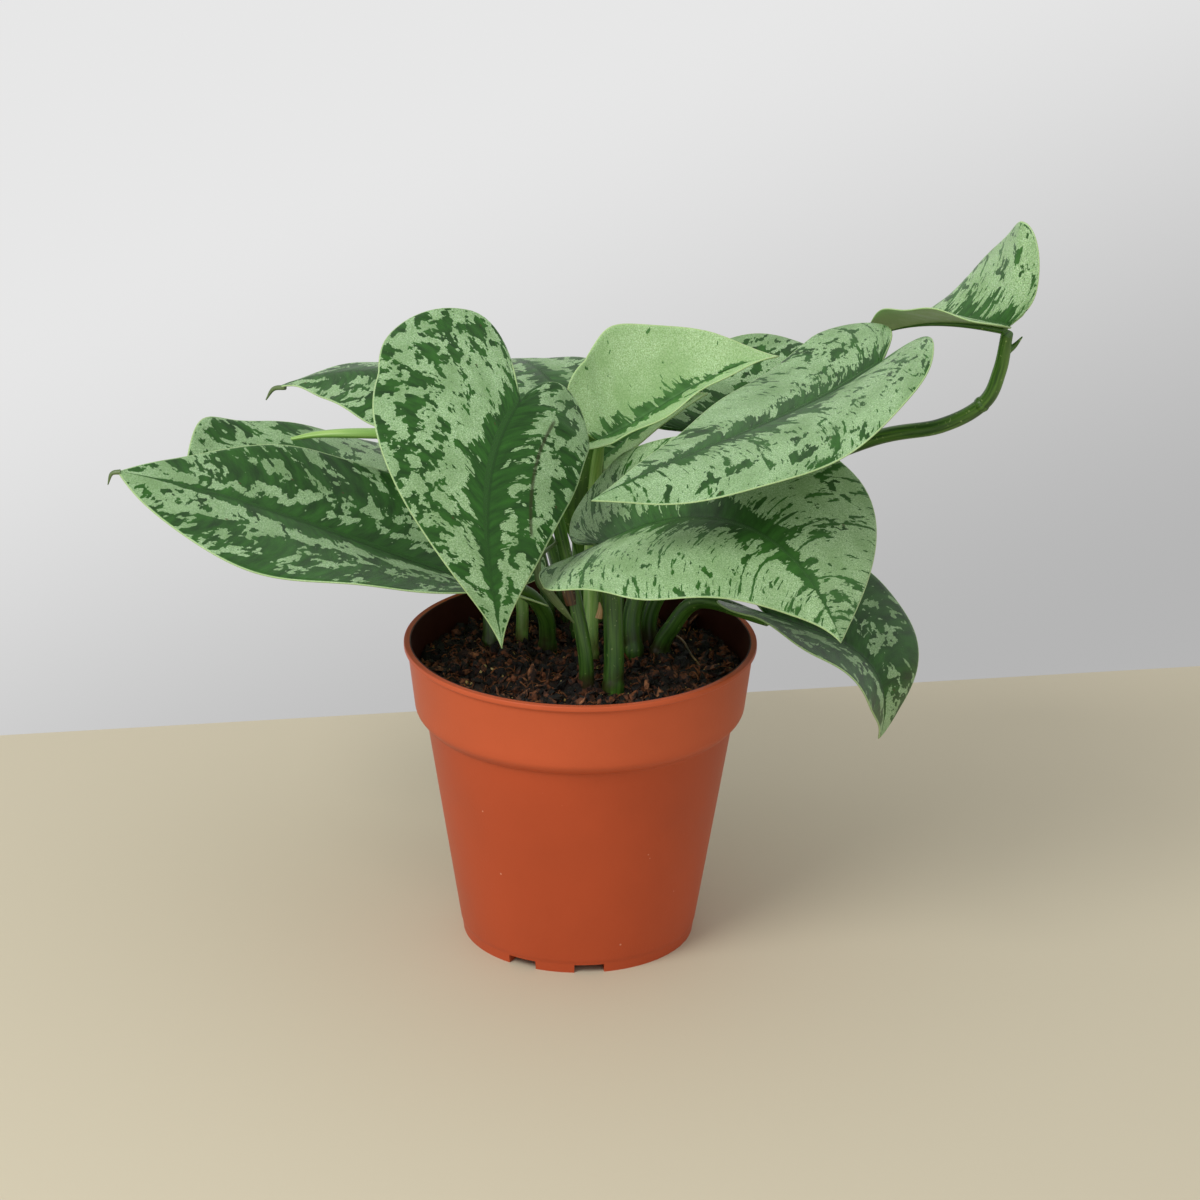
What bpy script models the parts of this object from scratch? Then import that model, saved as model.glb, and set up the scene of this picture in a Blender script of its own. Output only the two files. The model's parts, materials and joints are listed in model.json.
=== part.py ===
"""Potted satin pothos: a plastic nursery pot of soil with heart-shaped leaves on bent stalks.

Run with blender --background --python part.py, or from the text editor.
Front is -Y, up is +Z, and the table the pot stands on is z = 0.
Lengths below are millimetres and angles are degrees. MM turns them into metres.
"""
import math

import bpy
import numpy as np

MM = 0.001
GAP = 0.3

# Pot
POT_HEIGHT = 94.0
RIM_RADIUS = 53.0
LIP_DROP = 1.6
LIP_ROUND = 0.4
LIP_UNDERCUT = 0.5
MOUTH_FLARE = 0.6
BAND_TOP_RADIUS = 51.9
BAND_FOOT_RADIUS = 49.6
BAND_HEIGHT = 21.0
BAND_STEP = 3.2
BODY_TOP_RADIUS = 46.3
BASE_RADIUS = 35.6
WALL = 1.3
WALL_GAP = 0.5
FLOOR_RADIUS = 34.1
FLOOR_TOP = 5.2
FOOT_HEIGHT = 3.0
FOOT_INNER_RADIUS = 31.5
FOOT_RING = 1.2
DRAFT = 0.4
LEDGE_RISE = 0.6
POT_SIDES = 44
POT_SMOOTH_ANGLE = 32
NOTCH_ANGLES = (-118, -84, 32, 152)
NOTCH_WIDTH = 9.0
NOTCH_HEIGHT = 2.7
NOTCH_DEPTH = 6.0
CENTRE_FOOT_RADIUS = 6.0
DRAIN_CIRCLE = 20.0
DRAIN_RADIUS = 3.2
DRAIN_COUNT = 6
DRAIN_REACH = 1.0

# Points of the curve under the band, as shares of the step inwards and downwards.
STEP_CURVE = ((0.2, 0.4), (0.67, 0.75))

# Soil
SOIL_EDGE_Z = 84.0
SOIL_MOUND = 2.0
SOIL_SIDES = 32
SOIL_RINGS = (0.0, 0.35, 0.7, 1.0)
HOLE_DEPTH = 7.0
HOLE_SIDES = 12
HOLE_GAP = 0.6

# Leaf blades. The fan is the share of the margin whose veins all start at the junction.
BLADE_THICKNESS = 0.9
BLADE_ROWS = 12
BLADE_COLUMNS = 3
FAN_SHARE = 0.22
VEIN_CROWDING = 1.15
MIDRIB_LAP = 0.35
SLOPE_STEPS = 12

# The margin's shape, as shares of the half's width or of its length.
LOBE_CENTRE = 0.46
LOBE_FULLNESS = 0.62
SHOULDER_FULLNESS = 0.55
FLANK_FULLNESS = 0.42
NOTCH_OPENING = 0.1
NOTCH_DEPTH_SHARE = 0.55

# Stalks and the midrib that stands out under each blade
TUBE_SIDES = 6
RIB_SIDES = 4
RIB_STATIONS = 5
RIB_SHARE = 0.72
RIB_START_SHARE = 0.85
RIB_END_RADIUS = 0.55
RIB_SINK = 0.8
FOOT_SINK = 6.0
STRAIGHT_FOOT = 1.0
CURVE_STEPS = 2
TUBE_START = (0.3, 1.0, 0.1)

# A leaf runs from its junction with the stalk to its tip. Pairs give the left and the right
# half as seen from the junction, looking along the leaf at its upper face.
# bow and sweep lift and shift the midrib's two inner control points off the straight line,
# fold is a half's slope beside the midrib and curl what is added to it at the margin,
# and stalk lists the stalk's points from its foot in the soil up to the junction.
COMMON_LEAF = dict(
    bow=(8, 10), sweep=(0, 0), width=(30, 30), lobes=(14, 14), fold=(10, 10), fold_tip=(0, 0),
    curl=(-10, -10), curl_tip=(-10, -10), lobe_curl=(0, 0), widest=(0.2, 0.2),
    blunt=(0.25, 0.25), full=(0.3, 0.3), stalk_radius=(2.3, 1.6))
LEAVES = {
    "leaf_front": dict(
        junction=(-18, -22, 176), tip=(-22, -60, 115), bow=(15, 10), sweep=(10, 5),
        width=(28, 42), lobes=(15, 32), fold=(-30, 20), fold_tip=(-20, 30),
        curl=(-10, -15), curl_tip=(10, 0), widest=(0.2, -0.1), full=(0.1, 0.1),
        stalk=((2, -19), (1, -18, 100), (-6, -12, 132), (-14, -13, 166)),
        stalk_radius=(2.2, 1.5)),
    "leaf_left": dict(
        junction=(-30, -15, 117), tip=(-134, -26, 155), bow=(0, 5),
        width=(38, 36), lobes=(18, 20), fold=(20, 25), fold_tip=(-30, 20), curl=(-5, -10),
        curl_tip=(0, 10), widest=(0.4, 0.3), full=(0.6, 0.4),
        stalk=((-10, 12), (-11, 10, 98), (-18, 1, 109)), stalk_radius=(2.6, 1.7)),
    "leaf_left_behind": dict(
        junction=(-49, 55, 124), tip=(-124, 38, 116), bow=(5, -5), width=(26, 38),
        fold=(5, 5), fold_tip=(0, 50), curl=(-10, -20), curl_tip=(-10, 0),
        widest=(0.5, 0.7), full=(0.6, 0.9),
        stalk=((-27, 15), (-28, 20, 97), (-36, 38, 110)), stalk_radius=(2.9, 1.7)),
    "leaf_left_upper": dict(
        junction=(-36, 36, 160), tip=(-96, 62, 151), bow=(8, 8), width=(25, 20),
        fold=(-15, 0), fold_tip=(-15, 0), full=(0.0, 0.1),
        stalk=((-10, 29), (-12, 32, 105), (-24, 36, 145)), stalk_radius=(2.2, 1.4)),
    "leaf_centre": dict(
        junction=(5, 15, 152), tip=(59, 36, 172), bow=(-5, 5), sweep=(-8, -5),
        width=(28, 14), lobes=(8, 8), fold=(70, 10), fold_tip=(60, 10), curl=(10, 10),
        curl_tip=(10, 10), lobe_curl=(20, 0), widest=(0.3, 0.3), full=(0.1, 0.1),
        stalk=((3, 5), (3, 7, 98), (3, 18, 120), (4, 21, 138)), stalk_radius=(2.4, 1.5)),
    "leaf_right": dict(
        junction=(86, -8, 184), tip=(3, -60, 160), bow=(-8, 2), sweep=(4, 0),
        width=(44, 34), lobes=(8, 14), fold=(35, 0), fold_tip=(-20, 0), curl=(-25, -5),
        curl_tip=(-10, -15), lobe_curl=(10, -10), widest=(0.15, 0.0), full=(0.45, 0.1),
        stalk=((16, 8), (17, 12, 104), (36, 20, 142), (70, 10, 170)), stalk_radius=(2.9, 1.6)),
    "leaf_right_lower": dict(
        junction=(6, -17, 131), tip=(74, -68, 121), bow=(25, 28), sweep=(-5, -12),
        width=(40, 42), lobes=(20, 5), fold=(35, 0), fold_tip=(0, -20), curl=(10, -20),
        curl_tip=(-5, -15), lobe_curl=(0, 30), widest=(0.6, 0.35), full=(0.4, 0.15),
        stalk=((10, -19), (10, -17, 98), (9, -14, 118)), stalk_radius=(3.0, 2.3)),
    "leaf_right_drooping": dict(
        junction=(56, -12, 107), tip=(89, -22, 72), bow=(10, 25), width=(35, 30),
        fold=(20, 20), fold_tip=(20, 0), curl=(0, 0), curl_tip=(-30, 0), widest=(0.3, 0.3),
        full=(0.6, 0.3),
        stalk=((24, 9), (27, 8, 94), (36, 4, 105)), stalk_radius=(2.9, 1.7)),
    "leaf_right_behind": dict(
        junction=(32, 42, 146), tip=(96, 74, 150), bow=(5, 10), width=(30, 20), lobes=(10, 12),
        fold=(30, 5), fold_tip=(20, 0), widest=(0.4, 0.3), full=(0.4, 0.3),
        stalk=((10, 22), (12, 27, 104), (18, 36, 133)), stalk_radius=(2.3, 1.5)),
    "leaf_back": dict(
        junction=(0, 50, 143), tip=(-26, 111, 145), width=(27, 25), lobes=(10, 10),
        widest=(0.25, 0.25), stalk=((-1, 26), (-1, 31, 104), (-1, 40, 130)),
        stalk_radius=(2.2, 1.5)),
    "leaf_back_right": dict(
        junction=(40, 50, 116), tip=(90, 118, 98), bow=(9, 14), width=(31, 31),
        stalk=((16, 31), (19, 34, 97), (29, 42, 109))),
    "leaf_back_left": dict(
        junction=(-16, 62, 110), tip=(-52, 130, 86), bow=(9, 16),
        stalk=((-4, 38), (-6, 40, 95), (-10, 52, 105))),
    "leaf_young": dict(
        junction=(3, 34, 137), tip=(38, 42, 158), bow=(2, 3), width=(12, 9), lobes=(4, 4),
        fold=(65, 0), fold_tip=(50, 0), curl=(0, 0), curl_tip=(0, 0),
        stalk=((5, 33), (5, 33, 100), (3, 33, 124)), stalk_radius=(1.7, 1.2)),
    "leaf_on_vine": dict(
        junction=(123, -5, 195), tip=(84, 33, 178), bow=(4, 6), width=(20, 30),
        lobes=(6, 9), fold=(20, 75), fold_tip=(30, -10), curl=(0, 0), curl_tip=(0, -40),
        widest=(0.2, 0.0), full=(0.4, 0.35),
        stalk=((21, 17), (23, 19, 100), (44, 22, 130), (84, 16, 152), (106, 8, 160),
               (118, 3, 169), (122, 0, 180)),
        stalk_radius=(2.3, 1.8)),
}

# The rolled young leaf, as points with the roll's radius there.
ROLLED_LEAF = (
    ((-18, 20), 1.9), ((-18, 22, 96), 1.9), ((-20, 29, 112), 1.8), ((-28, 27, 134), 1.5),
    ((-38, 10, 152), 1.7),
    ((-50, 6, 156), 2.3), ((-66, 3, 157.5), 2.2), ((-78, 3, 157), 1.5), ((-86, 3, 155.5), 0.7))

# Colour and roughness of each finish
COLOURS = {
    "pot_plastic": ((0.42, 0.105, 0.035), 0.42),
    "potting_soil": ((0.030, 0.017, 0.010), 0.95),
    "leaf_green": ((0.16, 0.27, 0.13), 0.50),
    "young_leaf_green": ((0.26, 0.42, 0.16), 0.48),
}
YOUNG_LEAVES = ("leaf_centre", "leaf_young", "leaf_on_vine")


def clear_scene():
    for item in list(bpy.data.objects):
        bpy.data.objects.remove(item, do_unlink=True)


def material(name):
    found = bpy.data.materials.get(name)
    if found:
        return found
    colour, roughness = COLOURS[name]
    made = bpy.data.materials.new(name)
    made.use_nodes = True
    shader = made.node_tree.nodes["Principled BSDF"]
    shader.inputs["Base Color"].default_value = (*colour, 1.0)
    shader.inputs["Roughness"].default_value = roughness
    shader.inputs["Metallic"].default_value = 0.0
    return made


def mesh_object(name, points, faces, material_name=None):
    """An object from points in millimetres."""
    mesh = bpy.data.meshes.new(name)
    mesh.from_pydata([tuple(c * MM for c in p) for p in points], [], faces)
    mesh.validate()
    made = bpy.data.objects.new(name, mesh)
    bpy.context.scene.collection.objects.link(made)
    if material_name:
        mesh.materials.append(material(material_name))
    return made


def smooth(made, angle=40):
    made.data.shade_smooth()
    made.data.set_sharp_from_angle(angle=math.radians(angle))


def lathe(profile, sides):
    """A closed turned solid from (radius, height) corners, down the outside and up the inside."""
    points = []
    rings = []
    for radius, height in profile:
        if radius == 0:
            rings.append([len(points)] * sides)
            points.append((0, 0, height))
            continue
        rings.append(list(range(len(points), len(points) + sides)))
        for k in range(sides):
            a = 2 * math.pi * k / sides
            points.append((radius * math.cos(a), radius * math.sin(a), height))
    faces = []
    for upper, lower in zip(rings, rings[1:] + rings[:1]):
        for k in range(sides):
            corner = [upper[k], lower[k], lower[(k + 1) % sides], upper[(k + 1) % sides]]
            face = list(dict.fromkeys(corner))
            if len(face) > 2:
                faces.append(face)
    return points, faces


def bezier(points, t):
    p = np.asarray(points, float)
    t = np.asarray(t, float)[:, None]
    u = 1 - t
    return u ** 3 * p[0] + 3 * u ** 2 * t * p[1] + 3 * u * t ** 2 * p[2] + t ** 3 * p[3]


def through(points, steps):
    """A smooth curve through the points, with steps samples between neighbours."""
    p = np.asarray(points, float)
    p = np.vstack([2 * p[0] - p[1], p, 2 * p[-1] - p[-2]])
    out = []
    for i in range(1, len(p) - 2):
        for k in range(steps):
            t = k / steps
            a, b, c, d = p[i - 1:i + 3]
            out.append(0.5 * (2 * b + (c - a) * t + (2 * a - 5 * b + 4 * c - d) * t ** 2
                              + (3 * b - a - 3 * c + d) * t ** 3))
    out.append(p[-2])
    return np.array(out)


def margin(length, width, lobe, widest, blunt, full, count=200):
    """Half a heart-shaped outline from the notch round the lobe to the tip: across and along."""
    wide_y = widest * length
    rest = length - wide_y
    lobe_x = LOBE_CENTRE * width
    notch = [(0, 0), (NOTCH_OPENING * width, -NOTCH_DEPTH_SHARE * lobe),
             (0.5 * lobe_x, -lobe), (lobe_x, -lobe)]
    shoulder = [(lobe_x, -lobe), (lobe_x + LOBE_FULLNESS * (width - lobe_x), -lobe),
                (width, wide_y - SHOULDER_FULLNESS * (wide_y + lobe)), (width, wide_y)]
    flank = [(width, wide_y), (width, wide_y + FLANK_FULLNESS * rest),
             (full * width, length - blunt * rest), (0, length)]
    t = np.linspace(0, 1, count)
    return np.vstack([bezier(notch, t)[:-1], bezier(shoulder, t)[:-1], bezier(flank, t)])


class LeafShape:
    """Turns places on the flat leaf, across and along its midrib, into places on the plant."""

    def __init__(self, spec):
        self.spec = spec
        start = np.array(spec["junction"], float)
        end = np.array(spec["tip"], float)
        chord = (end - start) / np.linalg.norm(end - start)
        up = np.array((0, 0, 1.0))
        up = up - (up @ chord) * chord
        up = up / np.linalg.norm(up)
        self.side = np.cross(chord, up)
        bow, sweep = spec["bow"], spec["sweep"]
        first = start + (end - start) / 3 + up * bow[0] + self.side * sweep[0]
        second = start + (end - start) * 2 / 3 + up * bow[1] + self.side * sweep[1]
        self.control = np.array([start, first, second, end])
        self.t = np.linspace(0, 1, 101)
        line = bezier(self.control, self.t)
        self.arc = np.r_[0, np.cumsum(np.linalg.norm(np.diff(line, axis=0), axis=1))]
        self.length = self.arc[-1]

    def frame(self, along):
        """Midrib points, directions and upward normals. Before the junction the line runs on."""
        t = np.interp(np.clip(along, 0, self.length), self.arc, self.t)
        p = self.control
        u, v = (1 - t)[:, None], t[:, None]
        slope = 3 * (u ** 2 * (p[1] - p[0]) + 2 * u * v * (p[2] - p[1]) + v ** 2 * (p[3] - p[2]))
        slope = slope - (slope @ self.side)[:, None] * self.side
        tangent = slope / np.linalg.norm(slope, axis=1, keepdims=True)
        normal = np.cross(self.side, tangent)
        place = bezier(p, t) + tangent * np.minimum(along, 0)[:, None]
        return place, tangent, normal

    def place(self, across, along, half):
        s = self.spec
        place, _, normal = self.frame(along)
        share = across / s["width"][half]
        run = np.clip(along / self.length, 0, 1)
        behind = np.clip(-along / s["lobes"][half], 0, 1)
        fold = s["fold"][half] + (s["fold_tip"][half] - s["fold"][half]) * run
        curl = s["curl"][half] + (s["curl_tip"][half] - s["curl"][half]) * run
        curl = curl + s["lobe_curl"][half] * behind
        steps = np.linspace(0, 1, SLOPE_STEPS)[None, :]
        slope = np.radians(fold[:, None] + (curl * share)[:, None] * steps)
        out = across * np.cos(slope).mean(1)
        rise = across * np.sin(slope).mean(1)
        sign = 1 if half else -1
        return place + sign * out[:, None] * self.side + rise[:, None] * normal

    def rows(self, half, count):
        """Where each row leaves the midrib and where it meets the margin, on the flat leaf."""
        s = self.spec
        line = margin(self.length, s["width"][half], s["lobes"][half], s["widest"][half],
                      s["blunt"][half], s["full"][half])
        arc = np.r_[0, np.cumsum(np.linalg.norm(np.diff(line, axis=0), axis=1))]
        share = np.linspace(0, 1, count + 1)
        edge = np.stack([np.interp(share, arc / arc[-1], line[:, k]) for k in (0, 1)], -1)
        past_fan = np.clip((share - FAN_SHARE) / (1 - FAN_SHARE), 0, 1)
        start = past_fan ** VEIN_CROWDING * self.length
        return np.stack([np.zeros_like(start), start], -1), edge


def half_sheet(shape, half):
    """One half of the blade's middle surface as points and triangles.

    It reaches a little past the midrib, so that the two halves overlap and join there.
    """
    points = []
    index = {}
    faces = []

    def vertex(key, position):
        if key not in index:
            index[key] = len(points)
            points.append(position)
        return index[key]

    start, edge = shape.rows(half, BLADE_ROWS)
    share = np.linspace(0, 1, BLADE_COLUMNS + 1)[:, None]
    grid = []
    for i in range(BLADE_ROWS + 1):
        flat = start[i] + (edge[i] - start[i]) * share
        flat[0, 0] = -MIDRIB_LAP
        row = shape.place(flat[:, 0], flat[:, 1], half)
        keys = [(i, j) for j in range(BLADE_COLUMNS + 1)]
        if start[i][1] == 0:
            keys[0] = "junction"
        if i == 0:
            keys = ["junction"] * len(keys)
        if i == BLADE_ROWS:
            keys = ["tip"] * len(keys)
        grid.append([vertex(key, position) for key, position in zip(keys, row)])
    for i in range(BLADE_ROWS):
        for j in range(BLADE_COLUMNS):
            a, b = grid[i][j], grid[i][j + 1]
            c, d = grid[i + 1][j + 1], grid[i + 1][j]
            for corner in ((a, b, c), (a, c, d)):
                if len(set(corner)) == 3:
                    faces.append(corner if half == 0 else corner[::-1])
    return np.array(points), faces


def thicken(points, faces, thickness):
    """A closed solid about a sheet, with the same triangles on both faces."""
    f = np.array(faces)
    cross = np.cross(points[f[:, 1]] - points[f[:, 0]], points[f[:, 2]] - points[f[:, 0]])
    normal = np.zeros_like(points)
    for k in range(3):
        np.add.at(normal, f[:, k], cross)
    normal /= np.linalg.norm(normal, axis=1, keepdims=True)
    count = len(points)
    solid = np.vstack([points + normal * thickness / 2, points - normal * thickness / 2])
    out = [tuple(t) for t in faces] + [tuple(int(v) + count for v in t[::-1]) for t in f]
    edges = {(t[k], t[(k + 1) % 3]) for t in faces for k in range(3)}
    for a, b in sorted(edges):
        if (b, a) not in edges:
            out.append((b, a, a + count))
            out.append((b, a + count, b + count))
    return solid, out


def tube(points, radii, sides):
    """A closed round rod through the points, with flat ends.

    TUBE_START only sets where each ring starts and is never parallel to a rod's first step.
    """
    p = np.asarray(points, float)
    tangent = np.gradient(p, axis=0)
    tangent /= np.linalg.norm(tangent, axis=1, keepdims=True)
    across = np.cross(tangent[0], TUBE_START)
    ring_points = []
    for centre, along, radius in zip(p, tangent, radii):
        across = across - (across @ along) * along
        across = across / np.linalg.norm(across)
        other = np.cross(along, across)
        for k in range(sides):
            a = 2 * math.pi * k / sides
            ring_points.append(centre + radius * (math.cos(a) * across + math.sin(a) * other))
    faces = [tuple(range(sides))[::-1]]
    for i in range(len(p) - 1):
        for k in range(sides):
            a, b = i * sides + k, i * sides + (k + 1) % sides
            faces.append((a, b, b + sides, a + sides))
    last = (len(p) - 1) * sides
    faces.append(tuple(range(last, last + sides)))
    return ring_points, faces


def soil_height(x, y):
    """The mounded soil surface, highest on the pot's axis."""
    share = min(1.0, math.hypot(x, y) / RIM_RADIUS)
    return SOIL_EDGE_Z + SOIL_MOUND * (1 - share ** 2)


def stalk_route(listed):
    """The stalk's points, with its foot straight until it is out of the soil."""
    x, y = listed[0][:2]
    top = soil_height(x, y)
    return [(x, y, top - FOOT_SINK), (x, y, top + STRAIGHT_FOOT)] + [tuple(p) for p in listed[1:]]


def combine(base, others, operation):
    """Unites the base with the other objects, or cuts them out of it, and removes them."""
    group = bpy.data.collections.new(base.name + "_others")
    for piece in others:
        bpy.context.scene.collection.objects.unlink(piece)
        group.objects.link(piece)
    boolean = base.modifiers.new("combine", "BOOLEAN")
    boolean.operation = operation
    boolean.operand_type = "COLLECTION"
    boolean.collection = group
    boolean.solver = "EXACT"
    view = bpy.context.evaluated_depsgraph_get()
    mesh = bpy.data.meshes.new_from_object(base.evaluated_get(view))
    base.modifiers.clear()
    base.data = mesh
    for piece in others:
        bpy.data.objects.remove(piece, do_unlink=True)
    bpy.data.collections.remove(group)


def stalk_and_rib(name, shape):
    """The stalk up to the blade's underside, and the midrib that carries on from it."""
    foot_radius, top_radius = shape.spec["stalk_radius"]

    def beneath(share, radius):
        place, _, normal = shape.frame(np.array([share * shape.length]))
        return place[0] - RIB_SINK * radius * normal[0]

    listed = stalk_route(shape.spec["stalk"]) + [tuple(beneath(0, top_radius))]
    route = through(listed, CURVE_STEPS)
    radii = np.linspace(foot_radius, top_radius, len(route))
    radii[:CURVE_STEPS + 1] = foot_radius
    stalk = mesh_object(name, *tube(route, radii, TUBE_SIDES))
    shares = np.linspace(0.0, RIB_SHARE, RIB_STATIONS)
    rib_radii = np.linspace(top_radius * RIB_START_SHARE, RIB_END_RADIUS, len(shares))
    rib_points = [beneath(share, radius) for share, radius in zip(shares, rib_radii)]
    rib = mesh_object(name + "_rib", *tube(rib_points, rib_radii, RIB_SIDES))
    return stalk, rib


def leaf(name, spec):
    """A blade with its stalk and midrib, as one solid."""
    shape = LeafShape({**COMMON_LEAF, **spec})
    made, rib = stalk_and_rib(name, shape)
    others = [rib]
    for half in (0, 1):
        points, faces = thicken(*half_sheet(shape, half), BLADE_THICKNESS)
        others.append(mesh_object(name + "_half", points, faces))
    combine(made, others, "UNION")
    made.data.materials.clear()
    made.data.materials.append(
        material("young_leaf_green" if name in YOUNG_LEAVES else "leaf_green"))
    smooth(made)
    return made


def rolled_leaf():
    """A young leaf that is still rolled into a thin spindle on its stalk."""
    route = stalk_route([place for place, _ in ROLLED_LEAF])
    foot_radius = ROLLED_LEAF[0][1]
    sizes = [foot_radius] + [radius for _, radius in ROLLED_LEAF]
    stations = through([(*point, radius) for point, radius in zip(route, sizes)], CURVE_STEPS)
    stations[:CURVE_STEPS + 1, 3] = foot_radius
    made = mesh_object("leaf_rolled", *tube(stations[:, :3], stations[:, 3], TUBE_SIDES),
                       "young_leaf_green")
    smooth(made)
    return made


def pot_inside():
    """The pot's inner wall, from the floor up to the rim."""
    top = POT_HEIGHT
    band_z = top - BAND_HEIGHT
    brim = BAND_TOP_RADIUS - WALL
    return [
        (FLOOR_RADIUS, FLOOR_TOP), (BODY_TOP_RADIUS - WALL, band_z - BAND_STEP + LEDGE_RISE),
        (BAND_FOOT_RADIUS - WALL, band_z - DRAFT), (brim, top - LIP_DROP - LIP_UNDERCUT),
        (brim + MOUTH_FLARE / 3, top - GAP), (brim + MOUTH_FLARE, top)]


def pot_profile():
    """Outer wall from lip to foot, then the hollow under the floor, and the inside back up."""
    top = POT_HEIGHT
    band_z = top - BAND_HEIGHT
    lip = RIM_RADIUS
    fillet = BAND_FOOT_RADIUS - BODY_TOP_RADIUS
    outside = [
        (lip - LIP_ROUND, top), (lip, top - LIP_ROUND), (lip, top - LIP_DROP + LIP_ROUND),
        (lip - LIP_ROUND, top - LIP_DROP), (BAND_TOP_RADIUS, top - LIP_DROP - LIP_UNDERCUT),
        (BAND_FOOT_RADIUS, band_z)]
    outside += [(BAND_FOOT_RADIUS - inward * fillet, band_z - down * BAND_STEP)
                for inward, down in STEP_CURVE]
    outside += [
        (BODY_TOP_RADIUS, band_z - BAND_STEP), (BASE_RADIUS + DRAFT, FOOT_HEIGHT + FOOT_RING),
        (BASE_RADIUS, FOOT_HEIGHT), (BASE_RADIUS - DRAFT, 0)]
    underside = [
        (FOOT_INNER_RADIUS, 0), (FOOT_INNER_RADIUS - DRAFT, FOOT_HEIGHT),
        (CENTRE_FOOT_RADIUS + DRAFT, FOOT_HEIGHT), (CENTRE_FOOT_RADIUS, 0), (0, 0)]
    return outside + underside + [(0, FLOOR_TOP)] + pot_inside()


def box(name, centre, size, turn):
    """A box about a centre, turned about the vertical."""
    half = [s / 2 for s in size]
    c, s = math.cos(turn), math.sin(turn)
    points = []
    for x in (-half[0], half[0]):
        for y in (-half[1], half[1]):
            for z in (-half[2], half[2]):
                points.append((centre[0] + x * c - y * s, centre[1] + x * s + y * c, centre[2] + z))
    faces = [(0, 1, 3, 2), (4, 6, 7, 5), (0, 4, 5, 1), (2, 3, 7, 6), (0, 2, 6, 4), (1, 5, 7, 3)]
    return mesh_object(name, points, faces)


def cylinder(name, centre, radius, low, high, sides):
    """An upright rod about a centre, from one height to another."""
    points, faces = tube([(*centre, low), (*centre, high)], (radius, radius), sides)
    return mesh_object(name, points, faces)


def pot():
    """The nursery pot with its foot notches and drain holes."""
    made = mesh_object("pot", *lathe(pot_profile(), POT_SIDES), "pot_plastic")
    cutters = []
    for angle in NOTCH_ANGLES:
        a = math.radians(angle)
        centre = (BASE_RADIUS * math.cos(a), BASE_RADIUS * math.sin(a), 0)
        size = (2 * NOTCH_DEPTH, NOTCH_WIDTH, 2 * NOTCH_HEIGHT)
        cutters.append(box("notch", centre, size, a))
    for k in range(DRAIN_COUNT):
        a = 2 * math.pi * (k + 0.5) / DRAIN_COUNT
        centre = (DRAIN_CIRCLE * math.cos(a), DRAIN_CIRCLE * math.sin(a))
        low, high = FOOT_HEIGHT - DRAIN_REACH, FLOOR_TOP + DRAIN_REACH
        cutters.append(cylinder("drain", centre, DRAIN_RADIUS, low, high, HOLE_SIDES))
    combine(made, cutters, "DIFFERENCE")
    smooth(made, POT_SMOOTH_ANGLE)
    return made


def all_feet():
    """Every stalk's place in the soil with its radius."""
    feet = []
    for spec in LEAVES.values():
        radius = {**COMMON_LEAF, **spec}["stalk_radius"][0]
        feet.append((spec["stalk"][0], radius))
    feet.append(ROLLED_LEAF[0])
    return feet


def soil():
    """The root ball: a mounded solid that fills the pot, with a plain hole for each stalk."""
    floor, ledge, shelf, brim = pot_inside()[:4]
    share = (SOIL_EDGE_Z - shelf[1]) / (brim[1] - shelf[1])
    edge_radius = shelf[0] + (brim[0] - shelf[0]) * share - WALL_GAP
    mound = [(k * edge_radius, soil_height(k * edge_radius, 0)) for k in SOIL_RINGS]
    wall = [(radius - WALL_GAP, z + GAP) for radius, z in (shelf, ledge, floor)]
    profile = mound + wall + [(0, FLOOR_TOP + GAP)]
    made = mesh_object("soil", *lathe(profile, SOIL_SIDES), "potting_soil")
    cutters = []
    for (x, y), radius in all_feet():
        hole = (radius + HOLE_GAP) / math.cos(math.pi / HOLE_SIDES)
        top = soil_height(x, y)
        cutters.append(cylinder("hole", (x, y), hole, top - HOLE_DEPTH, POT_HEIGHT, HOLE_SIDES))
    combine(made, cutters, "DIFFERENCE")
    smooth(made)
    return made


def main():
    clear_scene()
    pot()
    soil()
    for name, spec in LEAVES.items():
        leaf(name, spec)
    rolled_leaf()


main()
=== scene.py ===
"""Looks of the potted satin pothos: silver-marked leaves, stalks, vine, soil and pot.

Lengths are millimetres until MM turns them into metres, and angles are degrees.
"""

import json
import math

import bmesh
import bpy
import numpy as np
from mathutils import Matrix, Quaternion, Vector

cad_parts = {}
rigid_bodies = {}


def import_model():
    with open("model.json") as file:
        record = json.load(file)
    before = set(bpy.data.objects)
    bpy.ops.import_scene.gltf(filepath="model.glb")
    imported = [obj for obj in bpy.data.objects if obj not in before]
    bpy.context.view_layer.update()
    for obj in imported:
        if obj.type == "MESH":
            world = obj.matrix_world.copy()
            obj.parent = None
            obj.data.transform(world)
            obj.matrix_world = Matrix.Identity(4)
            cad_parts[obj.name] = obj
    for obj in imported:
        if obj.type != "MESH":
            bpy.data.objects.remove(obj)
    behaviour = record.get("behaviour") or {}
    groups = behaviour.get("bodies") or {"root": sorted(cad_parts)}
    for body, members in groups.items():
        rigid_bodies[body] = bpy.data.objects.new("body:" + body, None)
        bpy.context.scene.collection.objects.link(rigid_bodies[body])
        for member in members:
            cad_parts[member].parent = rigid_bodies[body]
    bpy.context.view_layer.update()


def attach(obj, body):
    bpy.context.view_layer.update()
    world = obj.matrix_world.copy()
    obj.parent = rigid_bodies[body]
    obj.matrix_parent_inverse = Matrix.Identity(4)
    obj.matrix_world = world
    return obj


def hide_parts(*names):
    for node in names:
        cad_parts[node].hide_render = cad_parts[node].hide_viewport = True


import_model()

MM = 0.001
SEED = 7

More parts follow.
